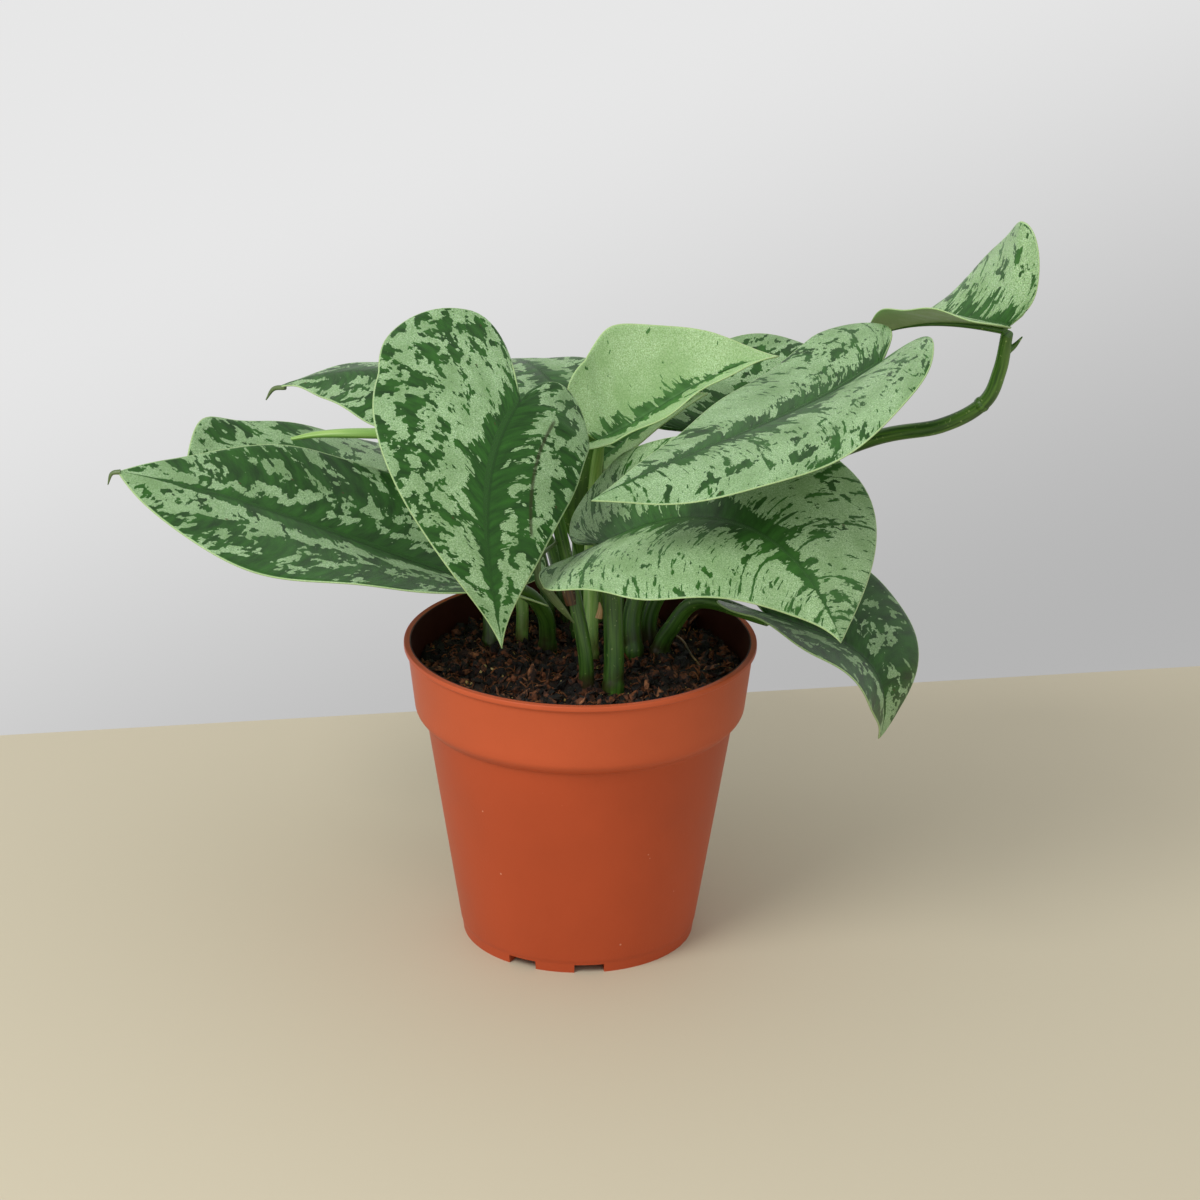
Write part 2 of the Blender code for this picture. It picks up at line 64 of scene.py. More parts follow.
# Camera: where it looks, how far off it stands, its tilts, and its lens and sensor
CAMERA_AIM = (5.75, 0.0, 106.6)
CAMERA_DISTANCE = 1250.0
CAMERA_ELEVATION = 21.4
CAMERA_ROLL = 0.6
CAMERA_LENS = 125.4
CAMERA_SENSOR = 36.0

# Pot and soil sizes, as in the solids
POT_HEIGHT = 94.0
RIM_RADIUS = 53.0
LIP_DROP = 1.6
BAND_TOP_RADIUS = 51.9
BAND_FOOT_RADIUS = 49.6
BAND_HEIGHT = 21.0
BAND_STEP = 3.2
BODY_TOP_RADIUS = 46.3
BASE_RADIUS = 35.6
WALL = 1.3
FLOOR_RADIUS = 34.1
FLOOR_TOP = 5.2
FOOT_HEIGHT = 3.0
FOOT_INNER_RADIUS = 31.5
POT_SIDES = 192
POT_SHARP_ANGLE = 35
ROUNDING_STEPS = 5
NOTCH_ANGLES = (-118, -84, 32, 152)
NOTCH_WIDTH = 9.0
NOTCH_HEIGHT = 2.7
NOTCH_DEPTH = 6.0
CENTRE_FOOT_RADIUS = 6.0
DRAIN_CIRCLE = 20.0
DRAIN_RADIUS = 3.2
DRAIN_COUNT = 6
DRAIN_SIDES = 32
SOIL_EDGE_Z = 84.0
SOIL_MOUND = 2.0
SOIL_RADIUS = 49.4

# The soil's skin: its fineness, its way down inside the pot, and its lumps by length and height
SKIN_RINGS = 90
SKIN_SIDES = 260
SKIN_GAP = 0.6
SKIN_FOOT_Z = 6.0
SKIN_WALL = ((SOIL_RADIUS, 78.0), (BODY_TOP_RADIUS - WALL, 69.0), (FLOOR_RADIUS, SKIN_FOOT_Z))
LUMPS = ((34, 1.6), (13, 1.4), (6, 1.1), (3, 0.8), (1.6, 0.4))
LUMP_WAVES = 5

# The middle of the pot's wall: its radius at the table if the band's lean went on down, and
# that lean. Inside it the wall is darkened with soil and painted shade.
POT_WALL_FOOT = 41.0
POT_WALL_LEAN = 0.1095

# Leaf blades, as in the solids, with finer rows, a thinner margin and a little relief
BLADE_ROWS = 80
BLADE_COLUMNS = 20
BLADE_THICKNESS = 0.8
MARGIN_THICKNESS = 0.45
MARGIN_ROUND = 0.45
MARGIN_STEPS = 400
FAN_SHARE = 0.22
VEIN_CROWDING = 1.15
VEIN_ARCH = 0.07
VEIN_SPACING = 6.5
VEIN_RELIEF = 0.09
VEIN_RUN = 0.8
GROOVE_DEPTH = 0.2
GROOVE_WIDTH = 1.1
CREASE_ROUND = 0.6
SLOPE_STEPS = 24
LOBE_CENTRE = 0.46
LOBE_FULLNESS = 0.62
SHOULDER_FULLNESS = 0.55
FLANK_FULLNESS = 0.42
NOTCH_OPENING = 0.1
NOTCH_DEPTH_SHARE = 0.55

# How far apart the noise of two halves and of two leaves is, and the waves of two margins
HALF_APART = 400
LEAF_APART = 3.7
WAVE_APART = 0.37

# Stalks and the midribs under the blades. A stalk is stouter below its neck.
FOOT_SINK = 6.0
STALK_SIDES = 20
STALK_STEPS = 10
FOOT_SAMPLES = 12
STALK_SWELL = 1.12
STALK_NECK = 0.125
TUBE_START = (0.3, 1.0, 0.1)
RIB_SIDES = 12
RIB_SAMPLES = 40
RIB_BEGIN = -0.01
RIB_SHARE = 0.8
RIB_SLIMMING = 0.65
RIB_END_RADIUS = 0.3
RIB_SINK = 1.1

# The leaves as in the solids. marks gives the dark band's half width beside the midrib in
# millimetres, how much of the outer blade is blotched, and how much it is finely streaked.
# young runs from 0 for a mature leaf to 1 for a fresh yellow-green one.
# crease is a fold across one half: the half, then two points of the fold across and along the
# leaf, and the turn beyond it.
COMMON_LEAF = dict(
    bow=(8, 10), sweep=(0, 0), width=(30, 30), lobes=(14, 14), fold=(10, 10), fold_tip=(0, 0),
    curl=(-10, -10), curl_tip=(-10, -10), lobe_curl=(0, 0), widest=(0.2, 0.2),
    blunt=(0.25, 0.25), full=(0.3, 0.3), stalk_radius=(2.3, 1.6), wave=0.7, waves=2.3,
    marks=(7, 0.50, 0.2), young=0.0, crease=None)
LEAVES = {
    "leaf_front": dict(
        junction=(-18, -22, 176), tip=(-22, -60, 115), bow=(15, 10), sweep=(10, 5),
        width=(28, 42), lobes=(15, 32), fold=(-30, 20), fold_tip=(-20, 30),
        curl=(-10, -15), curl_tip=(10, 0), widest=(0.2, -0.1), full=(0.1, 0.1),
        stalk=((2, -19), (1, -18, 100), (-6, -12, 132), (-14, -13, 166)),
        stalk_radius=(2.2, 1.5), marks=(8, 0.50, 0.2), crease=(0, (12, 2), (13, 42), -12)),
    "leaf_left": dict(
        junction=(-30, -15, 117), tip=(-134, -26, 155), bow=(0, 5),
        width=(38, 36), lobes=(18, 20), fold=(20, 25), fold_tip=(-30, 20), curl=(-5, -10),
        curl_tip=(0, 10), widest=(0.4, 0.3), full=(0.6, 0.4),
        stalk=((-10, 12), (-11, 10, 98), (-18, 1, 109)), stalk_radius=(2.6, 1.7),
        marks=(8, 0.67, 0.2)),
    "leaf_left_behind": dict(
        junction=(-49, 55, 124), tip=(-124, 38, 116), bow=(5, -5), width=(26, 38),
        fold=(5, 5), fold_tip=(0, 50), curl=(-10, -20), curl_tip=(-10, 0),
        widest=(0.5, 0.7), full=(0.6, 0.9),
        stalk=((-27, 15), (-28, 20, 97), (-36, 38, 110)), stalk_radius=(2.9, 1.7)),
    "leaf_left_upper": dict(
        junction=(-36, 36, 160), tip=(-96, 62, 151), bow=(8, 8), width=(25, 20),
        fold=(-15, 0), fold_tip=(-15, 0), full=(0.0, 0.1), marks=(7, 0.55, 0.2),
        stalk=((-10, 29), (-12, 32, 105), (-24, 36, 145)), stalk_radius=(2.2, 1.4)),
    "leaf_centre": dict(
        junction=(5, 15, 152), tip=(59, 36, 172), bow=(-5, 5), sweep=(-8, -5),
        width=(28, 14), lobes=(8, 8), fold=(70, 10), fold_tip=(60, 10), curl=(10, 10),
        curl_tip=(10, 10), lobe_curl=(20, 0), widest=(0.3, 0.3), full=(0.1, 0.1),
        stalk=((3, 5), (3, 7, 98), (3, 18, 120), (4, 21, 138)), stalk_radius=(2.4, 1.5),
        marks=(3.5, 0.05, 0.1), young=0.75),
    "leaf_right": dict(
        junction=(86, -8, 184), tip=(3, -60, 160), bow=(-8, 2), sweep=(4, 0),
        width=(44, 34), lobes=(8, 14), fold=(35, 0), fold_tip=(-20, 0), curl=(-25, -5),
        curl_tip=(-10, -15), lobe_curl=(10, -10), widest=(0.15, 0.0), full=(0.45, 0.1),
        stalk=((16, 8), (17, 12, 104), (36, 20, 142), (70, 10, 170)), stalk_radius=(2.9, 1.6),
        marks=(8, 0.27, 0.80)),
    "leaf_right_lower": dict(
        junction=(6, -17, 131), tip=(74, -68, 121), bow=(25, 28), sweep=(-5, -12),
        width=(40, 42), lobes=(20, 5), fold=(35, 0), fold_tip=(0, -20), curl=(10, -20),
        curl_tip=(-5, -15), lobe_curl=(0, 30), widest=(0.6, 0.35), full=(0.4, 0.15),
        stalk=((10, -19), (10, -17, 98), (9, -14, 118)), stalk_radius=(3.0, 2.3),
        marks=(9, 0.18, 0.93), young=0.2),
    "leaf_right_drooping": dict(
        junction=(56, -12, 107), tip=(89, -22, 72), bow=(10, 25), width=(35, 30),
        fold=(20, 20), fold_tip=(20, 0), curl=(0, 0), curl_tip=(-30, 0), widest=(0.3, 0.3),
        full=(0.6, 0.3), marks=(8, 0.70, 0.2),
        stalk=((24, 9), (27, 8, 94), (36, 4, 105)), stalk_radius=(2.9, 1.7)),
    "leaf_right_behind": dict(
        junction=(32, 42, 146), tip=(96, 74, 150), bow=(5, 10), width=(30, 20), lobes=(10, 12),
        fold=(30, 5), fold_tip=(20, 0), widest=(0.4, 0.3), full=(0.4, 0.3),
        stalk=((10, 22), (12, 27, 104), (18, 36, 133)), stalk_radius=(2.3, 1.5)),
    "leaf_back": dict(
        junction=(0, 50, 143), tip=(-26, 111, 145), width=(27, 25), lobes=(10, 10),
        widest=(0.25, 0.25), stalk=((-1, 26), (-1, 31, 104), (-1, 40, 130)),
        stalk_radius=(2.2, 1.5)),
    "leaf_back_right": dict(
        junction=(40, 50, 116), tip=(90, 118, 98), bow=(9, 14), width=(31, 31),
        stalk=((16, 31), (19, 34, 97), (29, 42, 109))),
    "leaf_back_left": dict(
        junction=(-16, 62, 110), tip=(-52, 130, 86), bow=(9, 16),
        stalk=((-4, 38), (-6, 40, 95), (-10, 52, 105))),
    "leaf_young": dict(
        junction=(3, 34, 137), tip=(38, 42, 158), bow=(2, 3), width=(12, 9), lobes=(4, 4),
        fold=(65, 0), fold_tip=(50, 0), curl=(0, 0), curl_tip=(0, 0), wave=0.2,
        stalk=((5, 33), (5, 33, 100), (3, 33, 124)), stalk_radius=(1.7, 1.2),
        marks=(2, 0.0, 0.1), young=1.0),
    "leaf_on_vine": dict(
        junction=(123, -5, 195), tip=(84, 33, 178), bow=(4, 6), width=(20, 30),
        lobes=(6, 9), fold=(20, 75), fold_tip=(30, -10), curl=(0, 0), curl_tip=(0, -40),
        widest=(0.2, 0.0), full=(0.4, 0.35), marks=(7, 0.36, 0.8), young=0.2,
        stalk=((21, 17), (23, 19, 100), (44, 22, 130), (84, 16, 152), (106, 8, 160),
               (118, 3, 169), (122, 0, 180)),
        stalk_radius=(2.3, 1.8)),
}
YOUNG_STALKS = ("leaf_centre", "leaf_young")
ROLLED_FLAT = ((0, 0, 1), 0.65)
ROLLED_LEAF = (
    ((-18, 20), 1.9), ((-18, 22, 96), 1.9), ((-20, 29, 112), 1.8), ((-28, 27, 134), 1.5),
    ((-38, 10, 152), 1.7),
    ((-50, 6, 156), 2.3), ((-66, 3, 157.5), 2.2), ((-78, 3, 157), 1.5), ((-86, 3, 155.5), 0.7))

# Small pieces: name, finish, slot, pressing, and stations of x, y, z and the radius there
SMALL_STEPS = 6
SMALL_SIDES = 12
SMALL_LEAST_RADIUS = 0.08
SMALL_PIECES = (
    ("vine_node", "stalk_green", "leaf_green", None,
     ((116.6, 3.6, 167.8, 2.2), (117.5, 3.2, 168.5, 2.5), (118.2, 2.9, 169.2, 2.2))),
    ("vine_bract", "stalk_green", "leaf_green", None,
     ((122.4, -1, 184.5, 1.5), (123.6, -2, 186.8, 1.4), (125.7, -2, 188.3, 0.8),
      (127.8, -3, 191.4, 0.2))),
    ("left_tip", "sheath_green_shaded", "leaf_green", None,
     ((-133.2, -26, 155, 0.8), (-135.8, -26, 154.4, 0.6), (-137, -26, 151, 0.15))),
    ("upper_left_tip", "sheath_green_shaded", "leaf_green", None,
     ((-92, 60, 152.4, 0.8), (-95.8, 62, 151.2, 0.7), (-98.2, 62, 147.6, 0.2))),
    # This sheath's grey-green finish is darkened with painted shade.
    ("narrow_bract", "sheath_green_shaded", "leaf_green", ((0, 1, 0), 0.3),
     ((-7, -13, 130, 0.5), (-12, -27, 130, 0.7), (-12, -30, 124.5, 1.3),
      (-9.4, -30, 120.7, 1.4), (-5, -28.5, 114.5, 1.0), (-1.8, -27, 109.9, 0.2))),
    ("inner_leaf", "stalk_green", "leaf_green", ((0, 1, 0), 0.15),
     ((1, 26, 96, 1.2), (0, 26, 112, 2.0), (-1, 25, 128, 6.5), (0, 25, 146, 6.5),
      (2, 25, 160, 0.5))),
    ("scar_front", "sheath_brown", "leaf_green", None,
     ((-2.4, -16.2, 111.5, 1.9), (-3.3, -15.6, 115, 2.2), (-4.2, -15, 118.5, 1.8))),
    ("pale_sheath", "sheath_tan", "leaf_green", ((0, 1, 0), 0.5),
     ((5.4, -19.5, 108.5, 1.1), (5.8, -19.5, 111, 0.8), (5.6, -19.2, 113.4, 0.2))),
    ("rootlet", "sheath_tan", "potting_soil", None,
     ((28, 24, 86.5, 0.25), (31, 15, 87.8, 0.32), (33.5, 5, 87.2, 0.3), (37, -4, 86, 0.2))))

# Leaf colours as sRGB bytes, for a mature leaf and for a young one
SILVER = ((174, 205, 160), (208, 234, 186))
SILVER_SHADE = ((102, 136, 84), (144, 182, 116))
DARK = ((24, 58, 15), (62, 104, 52))
DARK_LIGHT = ((46, 98, 28), (92, 142, 76))
UNDERSIDE = ((126, 156, 104), (142, 180, 92))
MARGIN_COLOUR = (186, 208, 146)
# The fold line's colour is brown wear with painted shade in the fold
CREASE_WEAR_AND_SHADE_COLOUR = (44, 52, 20)
BROWN = (66, 56, 26)

# Noise that runs with a leaf's veins: its fineness across them and along them, and its detail
HAIRS = (1.5, 0.28, 2.0)
FINGERS = (0.42, 0.11, 3.0)
PATCHES = (0.19, 0.15, 2.0)
PATCH_WARP = 0.4
FLAKES = (0.80, 0.44, 3.0)
DASHES = (1.1, 0.16, 2.0)
STREAKS = (0.55, 0.035, 1.0)
VEIN_LINES = (0.14, 0.02, 1.0)
BAND_RAGGED = 9.0

# Stalk finishes: light, dark and old foot's colours, and in metres where the old foot ends
STALK_FINISHES = {
    "stalk_green": ((82, 124, 42), (38, 76, 20), (52, 44, 20)),
    "stalk_young": ((150, 186, 98), (112, 160, 70), (110, 104, 56)),
    # The grey-green sheath finish below is darkened with painted shade.
    "sheath_green_shaded": ((106, 126, 78), (72, 94, 50), BROWN),
    "sheath_brown": ((104, 72, 38), (54, 36, 20), BROWN),
    "sheath_tan": ((196, 164, 112), (142, 104, 64), BROWN)}
STALK_FLECK_COLOUR = (168, 190, 120)
STALK_OLD_Z = (0.087, 0.096)

# Pot colours, and the heights in metres between which the body's turns into the band's. The
# body's darker colour is painted shade.
POT_BAND_COLOUR = (198, 90, 52)
POT_BODY_SHADED_COLOUR = (182, 77, 41)
POT_CLOUD_COLOUR = (40, 12, 6)
POT_FLECK_COLOUR = (236, 190, 160)
# Inside the rim the wall is darkened towards this colour with soil and painted shade
POT_SOIL_AND_SHADE_COLOUR = (34, 16, 9)
POT_SOIL_AND_SHADE = 0.94
POT_SHADE_STEP_Z = (0.067, 0.077)

# Soil finishes: dark and light colour, fineness, roughness, and the noise where light begins
SOIL_FINISHES = {
    "soil_dark": ((8, 4, 2), (46, 27, 15), 260.0, 0.8, 0.40),
    "soil_crumb": ((8, 3, 1), (172, 100, 58), 240.0, 0.75, 0.50),
    "soil_bark_chip": ((40, 18, 10), (206, 134, 88), 420.0, 0.8, 0.46),
    "soil_grain": ((166, 134, 66), (236, 214, 146), 500.0, 0.5, 0.40),
    "soil_fibre": ((62, 34, 18), (158, 98, 54), 300.0, 0.9, 0.40)}
SOIL_CONTRAST = 0.28

# Loose bits: name, finish, count, smallest and largest size, and shape as three scales
SOIL_BITS = (
    ("soil_crumbs", "soil_crumb", 2600, (0.5, 2.6), (1.0, 0.8, 0.6)),
    ("soil_bark", "soil_bark_chip", 170, (1.4, 5.0), (1.0, 0.45, 0.2)),
    ("soil_grains", "soil_grain", 420, (0.3, 0.95), (1.0, 0.8, 0.7)))
BIT_INSET = 1.2
BIT_SMALLNESS = 2.2
BIT_SHARP_ANGLE = 20
CHIP = np.array([(0, 0, 1), (1, 0, 0), (0.3, 0.95, 0), (-0.8, 0.6, 0), (-0.8, -0.6, 0),
                 (0.3, -0.95, 0), (0, 0, -1)])
CHIP_FACES = [[0, 1, 2], [0, 2, 3], [0, 3, 4], [0, 4, 5], [0, 5, 1],
              [6, 2, 1], [6, 3, 2], [6, 4, 3], [6, 5, 4], [6, 1, 5]]
FIBRE_COUNT = 300
FIBRE_INSET = 4.0
FIBRE_STEPS = 6
FIBRE_SIDES = 5

# Table top: its colour and size in metres, its far edge's distance in millimetres and its turn
FLOOR_COLOUR = (197, 188, 164)
TABLE_WIDTH = 3.0
TABLE_DEPTH = 3.0
TABLE_EDGE_Y = 175.0
TABLE_TURN = 10.0

# The light: its place, aim and width in metres, its power and its colour
KEY_PLACE = (-0.75, -0.85, 1.15)
KEY_AIM = (0.0, 0.0, 0.1)
KEY_WIDTH = 0.80
KEY_POWER = 13.6
KEY_COLOUR = (1.0, 0.99, 0.97)

# The air's brightness by direction, from straight down to above the horizon
AIR_ABOVE = 0.76
AIR_BELOW = 0.80
AIR_LOWEST = 0.46
AIR_SLANT = 0.40
AIR_LOW_STEP = (-0.42, -0.24)
AIR_HORIZON = (-0.10, 0.10)


def srgb(colour):
    """Linear values of a colour in sRGB bytes, with full alpha."""
    out = []
    for byte in colour:
        c = byte / 255
        out.append(c / 12.92 if c <= 0.04045 else ((c + 0.055) / 1.055) ** 2.4)
    return (*out, 1.0)


class Nodes:
    """A short way to build the node tree of a material or of the surroundings."""

    def __init__(self, owner):
        owner.use_nodes = True
        self.owner = owner
        self.tree = owner.node_tree

    def add(self, kind, inputs=None, **settings):
        node = self.tree.nodes.new(kind)
        for key, value in settings.items():
            setattr(node, key, value)
        for key, value in (inputs or {}).items():
            self.put(node.inputs[key], value)
        return node

    def put(self, socket, value):
        if isinstance(value, bpy.types.NodeSocket):
            self.tree.links.new(value, socket)
        else:
            socket.default_value = value

    def set(self, name, value, shader="Principled BSDF"):
        """Gives one of the shader's inputs a value or a link."""
        self.put(self.tree.nodes[shader].inputs[name], value)

    def math(self, operation, a, b=0.0, c=0.0):
        return self.add("ShaderNodeMath", {0: a, 1: b, 2: c}, operation=operation).outputs[0]

    def plus(self, a, b):
        return self.math("ADD", a, b)

    def minus(self, a, b):
        return self.math("SUBTRACT", a, b)

    def times(self, a, b):
        return self.math("MULTIPLY", a, b)

    def ramp(self, value, low, high, to_low=0.0, to_high=1.0, smooth=False):
        """Maps low..high to to_low..to_high and stays there beyond."""
        inputs = {0: value, 1: low, 2: high, 3: to_low, 4: to_high}
        kind = "SMOOTHSTEP" if smooth else "LINEAR"
        return self.add("ShaderNodeMapRange", inputs, interpolation_type=kind).outputs[0]

    def mix(self, share, a, b):
        return self.add("ShaderNodeMix", {0: share, 6: a, 7: b}, data_type="RGBA").outputs[2]

    def noise(self, vector, scale, detail=2.0, roughness=0.5, distortion=0.0):
        node = self.add("ShaderNodeTexNoise", {
            "Vector": vector, "Scale": scale, "Detail": detail, "Roughness": roughness,
            "Distortion": distortion})
        return node.outputs[0]

    def dots(self, place, scale, size, patch_scale, patch_limit):
        """Small round dots, in some patches only."""
        cells = self.add("ShaderNodeTexVoronoi", {"Vector": place, "Scale": scale})
        chosen = self.math("GREATER_THAN", self.noise(place, patch_scale, 1.0), patch_limit)
        return self.times(self.ramp(cells.outputs["Distance"], size, size + 0.03, 1.0, 0.0), chosen)

    def place(self):
        return self.add("ShaderNodeTexCoord").outputs["Object"]

    def vector(self, x, y, z=0.0):
        return self.add("ShaderNodeCombineXYZ", {0: x, 1: y, 2: z}).outputs[0]

    def split(self, vector):
        """The three numbers of a vector."""
        return tuple(self.add("ShaderNodeSeparateXYZ", {0: vector}).outputs)

    def attribute(self, name):
        """The three numbers of a mesh attribute."""
        return self.split(self.add("ShaderNodeAttribute", attribute_name=name).outputs["Vector"])

    def bump(self, height, distance, strength):
        inputs = {"Height": height, "Distance": distance, "Strength": strength}
        return self.add("ShaderNodeBump", inputs).outputs["Normal"]


class LeafNodes(Nodes):
    """The leaf material's markings, from each point's place on its leaf and along its veins."""

    def __init__(self, owner):
        super().__init__(owner)
        self.across, self.along, self.share = self.attribute("leaf_place")
        self.cross, self.out, self.edge = self.attribute("leaf_vein")
        self.under, self.seed, self.young = self.attribute("leaf_side")
        self.band_width, self.cover, self.streaked = self.attribute("leaf_marks")
        self.flat = self.vector(self.cross, self.out, self.seed)
        self.hairs = self.veined(*HAIRS)
        self.fingers = self.veined(*FINGERS)
        self.patches = self.veined(*PATCHES, PATCH_WARP)
        self.flakes = self.veined(*FLAKES)

    def veined(self, fine_across, fine_out, detail, distortion=0.0):
        """Noise that is stretched along the veins."""
        across = self.times(self.cross, fine_across)
        out = self.times(self.out, fine_out)
        return self.noise(self.vector(across, out, self.seed), 1.0, detail, 0.55, distortion)

    def centred(self, value, amount):
        return self.times(self.minus(value, 0.5), amount)

    def above(self, value, limit, softness):
        """A step from 0 to 1 where the value passes the limit."""
        return self.ramp(self.minus(value, limit), -softness, softness)

    def shade(self, pair):
        """A leaf colour between a mature leaf's and a young one's."""
        return self.mix(self.young, srgb(pair[0]), srgb(pair[1]))


def band(n):
    """The dark band beside the midrib, with a ragged edge, which ends at the tip."""
    hairs = n.centred(n.hairs, n.ramp(n.streaked, 0.2, 1.0, 0.8, 2.0))
    fingers = n.centred(n.fingers, n.ramp(n.streaked, 0.2, 1.0, 1.6, 3.4))
    clouds = n.centred(n.patches, n.ramp(n.streaked, 0.3, 1.0, 16.0, 26.0))
    ragged = n.plus(n.times(n.plus(hairs, fingers), BAND_RAGGED), clouds)
    taper = n.ramp(n.along, 0.30, 1.0, 1.0, 0.0, True)
    return n.above(n.times(n.plus(n.band_width, ragged), taper), n.out, 0.12)


def spots(n):
    """Jagged blotches, fewer beside the band than further out and fewer towards the tip."""
    favour = n.times(n.ramp(n.share, 0.25, 0.60, -0.10, 0.02, True),
                     n.ramp(n.along, 0.70, 0.98, 1.0, 1.5, True))
    favour = n.minus(favour, n.ramp(n.along, 0.70, 1.0, 0.0, 0.10, True))
    jagged = n.plus(n.centred(n.flakes, 0.42), n.centred(n.hairs, 0.12))
    limit = n.minus(n.ramp(n.cover, 0.0, 1.0, 0.74, 0.30), favour)
    return n.above(n.plus(n.patches, jagged), limit, 0.006)


def dashes(n):
    """Short streaks along the veins."""
    short = n.plus(n.veined(*DASHES), n.centred(n.flakes, 0.35))
    limit = n.minus(n.ramp(n.streaked, 0.0, 1.0, 0.80, 0.63), n.centred(n.fingers, 0.35))
    return n.above(short, limit, 0.008)


def streaks(n):
    """Long streaks along the veins, fewer towards the margin."""
    long = n.plus(n.veined(*STREAKS), n.centred(n.hairs, 0.10))
    outward = n.ramp(n.share, 0.3, 0.9, 0.0, 0.12)
    limit = n.plus(n.ramp(n.streaked, 0.4, 1.0, 0.90, 0.67), outward)
    return n.above(long, limit, 0.006)


def lines(n):
    """Thin dark vein lines on finely streaked leaves."""
    line = n.math("ABSOLUTE", n.minus(n.veined(*VEIN_LINES), 0.5))
    line = n.ramp(n.plus(line, n.centred(n.flakes, 0.12)), 0.018, 0.030, 1.0, 0.0)
    return n.times(line, n.math("GREATER_THAN", n.times(n.streaked, n.fingers), 0.42))


def flaws(n, top):
    """The upper face with its dark midrib, a worn fold line with painted shade in it, brown pits
    and pale margin added.
    """
    midrib = n.times(n.ramp(n.math("ABSOLUTE", n.across), 0.25, 0.6, 0.55, 0.0),
                     n.ramp(n.along, 0.5, 0.9, 1.0, 0.0))
    top = n.mix(midrib, top, n.shade(DARK))
    folded, folded_run, _ = n.attribute("leaf_crease")
    # The fold line's colour is partly brown wear and partly painted shade in the fold.
    beside = n.ramp(n.math("ABSOLUTE", folded), 0.25, 0.8, 0.8, 0.0)
    top = n.mix(n.times(beside, folded_run), top, srgb(CREASE_WEAR_AND_SHADE_COLOUR))
    pits = n.dots(n.flat, 0.16, 0.05, 0.11, 0.57)
    top = n.mix(n.times(pits, 0.7), top, srgb(BROWN))
    return n.mix(n.ramp(n.edge, 0.03, 0.22, 0.5, 0.0), top, srgb(MARGIN_COLOUR))


def leaf_material():
    """Silver satin with dark green markings up to the margin, and a plain paler underside."""
    n = LeafNodes(bpy.data.materials.new("leaf_satin"))
    dark = band(n)
    for marks in (spots, dashes, streaks, lines):
        dark = n.math("MAXIMUM", dark, marks(n))
    dark = n.times(dark, n.ramp(n.edge, 0.15, 0.4))
    grain = n.noise(n.place(), 2600.0, 2.0, 0.7)
    cloud = n.times(n.ramp(n.noise(n.flat, 0.09), 0.4, 0.7), 0.6)
    silver = n.mix(n.ramp(grain, 0.34, 0.70), n.shade(SILVER_SHADE), n.shade(SILVER))
    silver = n.mix(cloud, silver, n.shade(SILVER_SHADE))
    green = n.mix(n.ramp(n.fingers, 0.3, 0.75), n.shade(DARK), n.shade(DARK_LIGHT))
    top = flaws(n, n.mix(dark, silver, green))
    n.set("Base Color", n.mix(n.under, top, n.shade(UNDERSIDE)))
    n.set("Roughness", n.ramp(dark, 0.0, 1.0, 0.48, 0.40))
    n.set("Specular IOR Level", 0.25)
    n.set("Subsurface Weight", 0.10)
    n.set("Subsurface Radius", (0.3, 0.6, 0.15))
    n.set("Subsurface Scale", 0.002)
    height = n.plus(n.times(grain, 0.35), n.times(n.hairs, 0.6))
    n.set("Normal", n.bump(height, 0.0002, 0.6))


def stalk_material(name, light, dark, old):
    """Smooth green stalk with fine lengthwise streaks, browner at its foot."""
    n = Nodes(bpy.data.materials.new(name))
    place = n.place()
    run, turn, _ = n.attribute("stalk_place")
    streak = n.noise(n.vector(n.times(run, 0.06), n.times(turn, 3.0)), 1.0, 3.0)
    body = n.mix(n.ramp(streak, 0.35, 0.65), srgb(dark), srgb(light))
    fleck = n.ramp(n.noise(place, 900.0, 1.0), 0.70, 0.74)
    body = n.mix(n.times(fleck, 0.5), body, srgb(STALK_FLECK_COLOUR))
    foot = n.ramp(n.split(place)[2], *STALK_OLD_Z, 1.0, 0.0, True)
    foot = n.times(foot, n.ramp(n.noise(place, 160.0), 0.35, 0.6))
    n.set("Base Color", n.mix(foot, body, srgb(old)))
    n.set("Roughness", 0.38)
    n.set("Normal", n.bump(streak, 0.0003, 0.4))


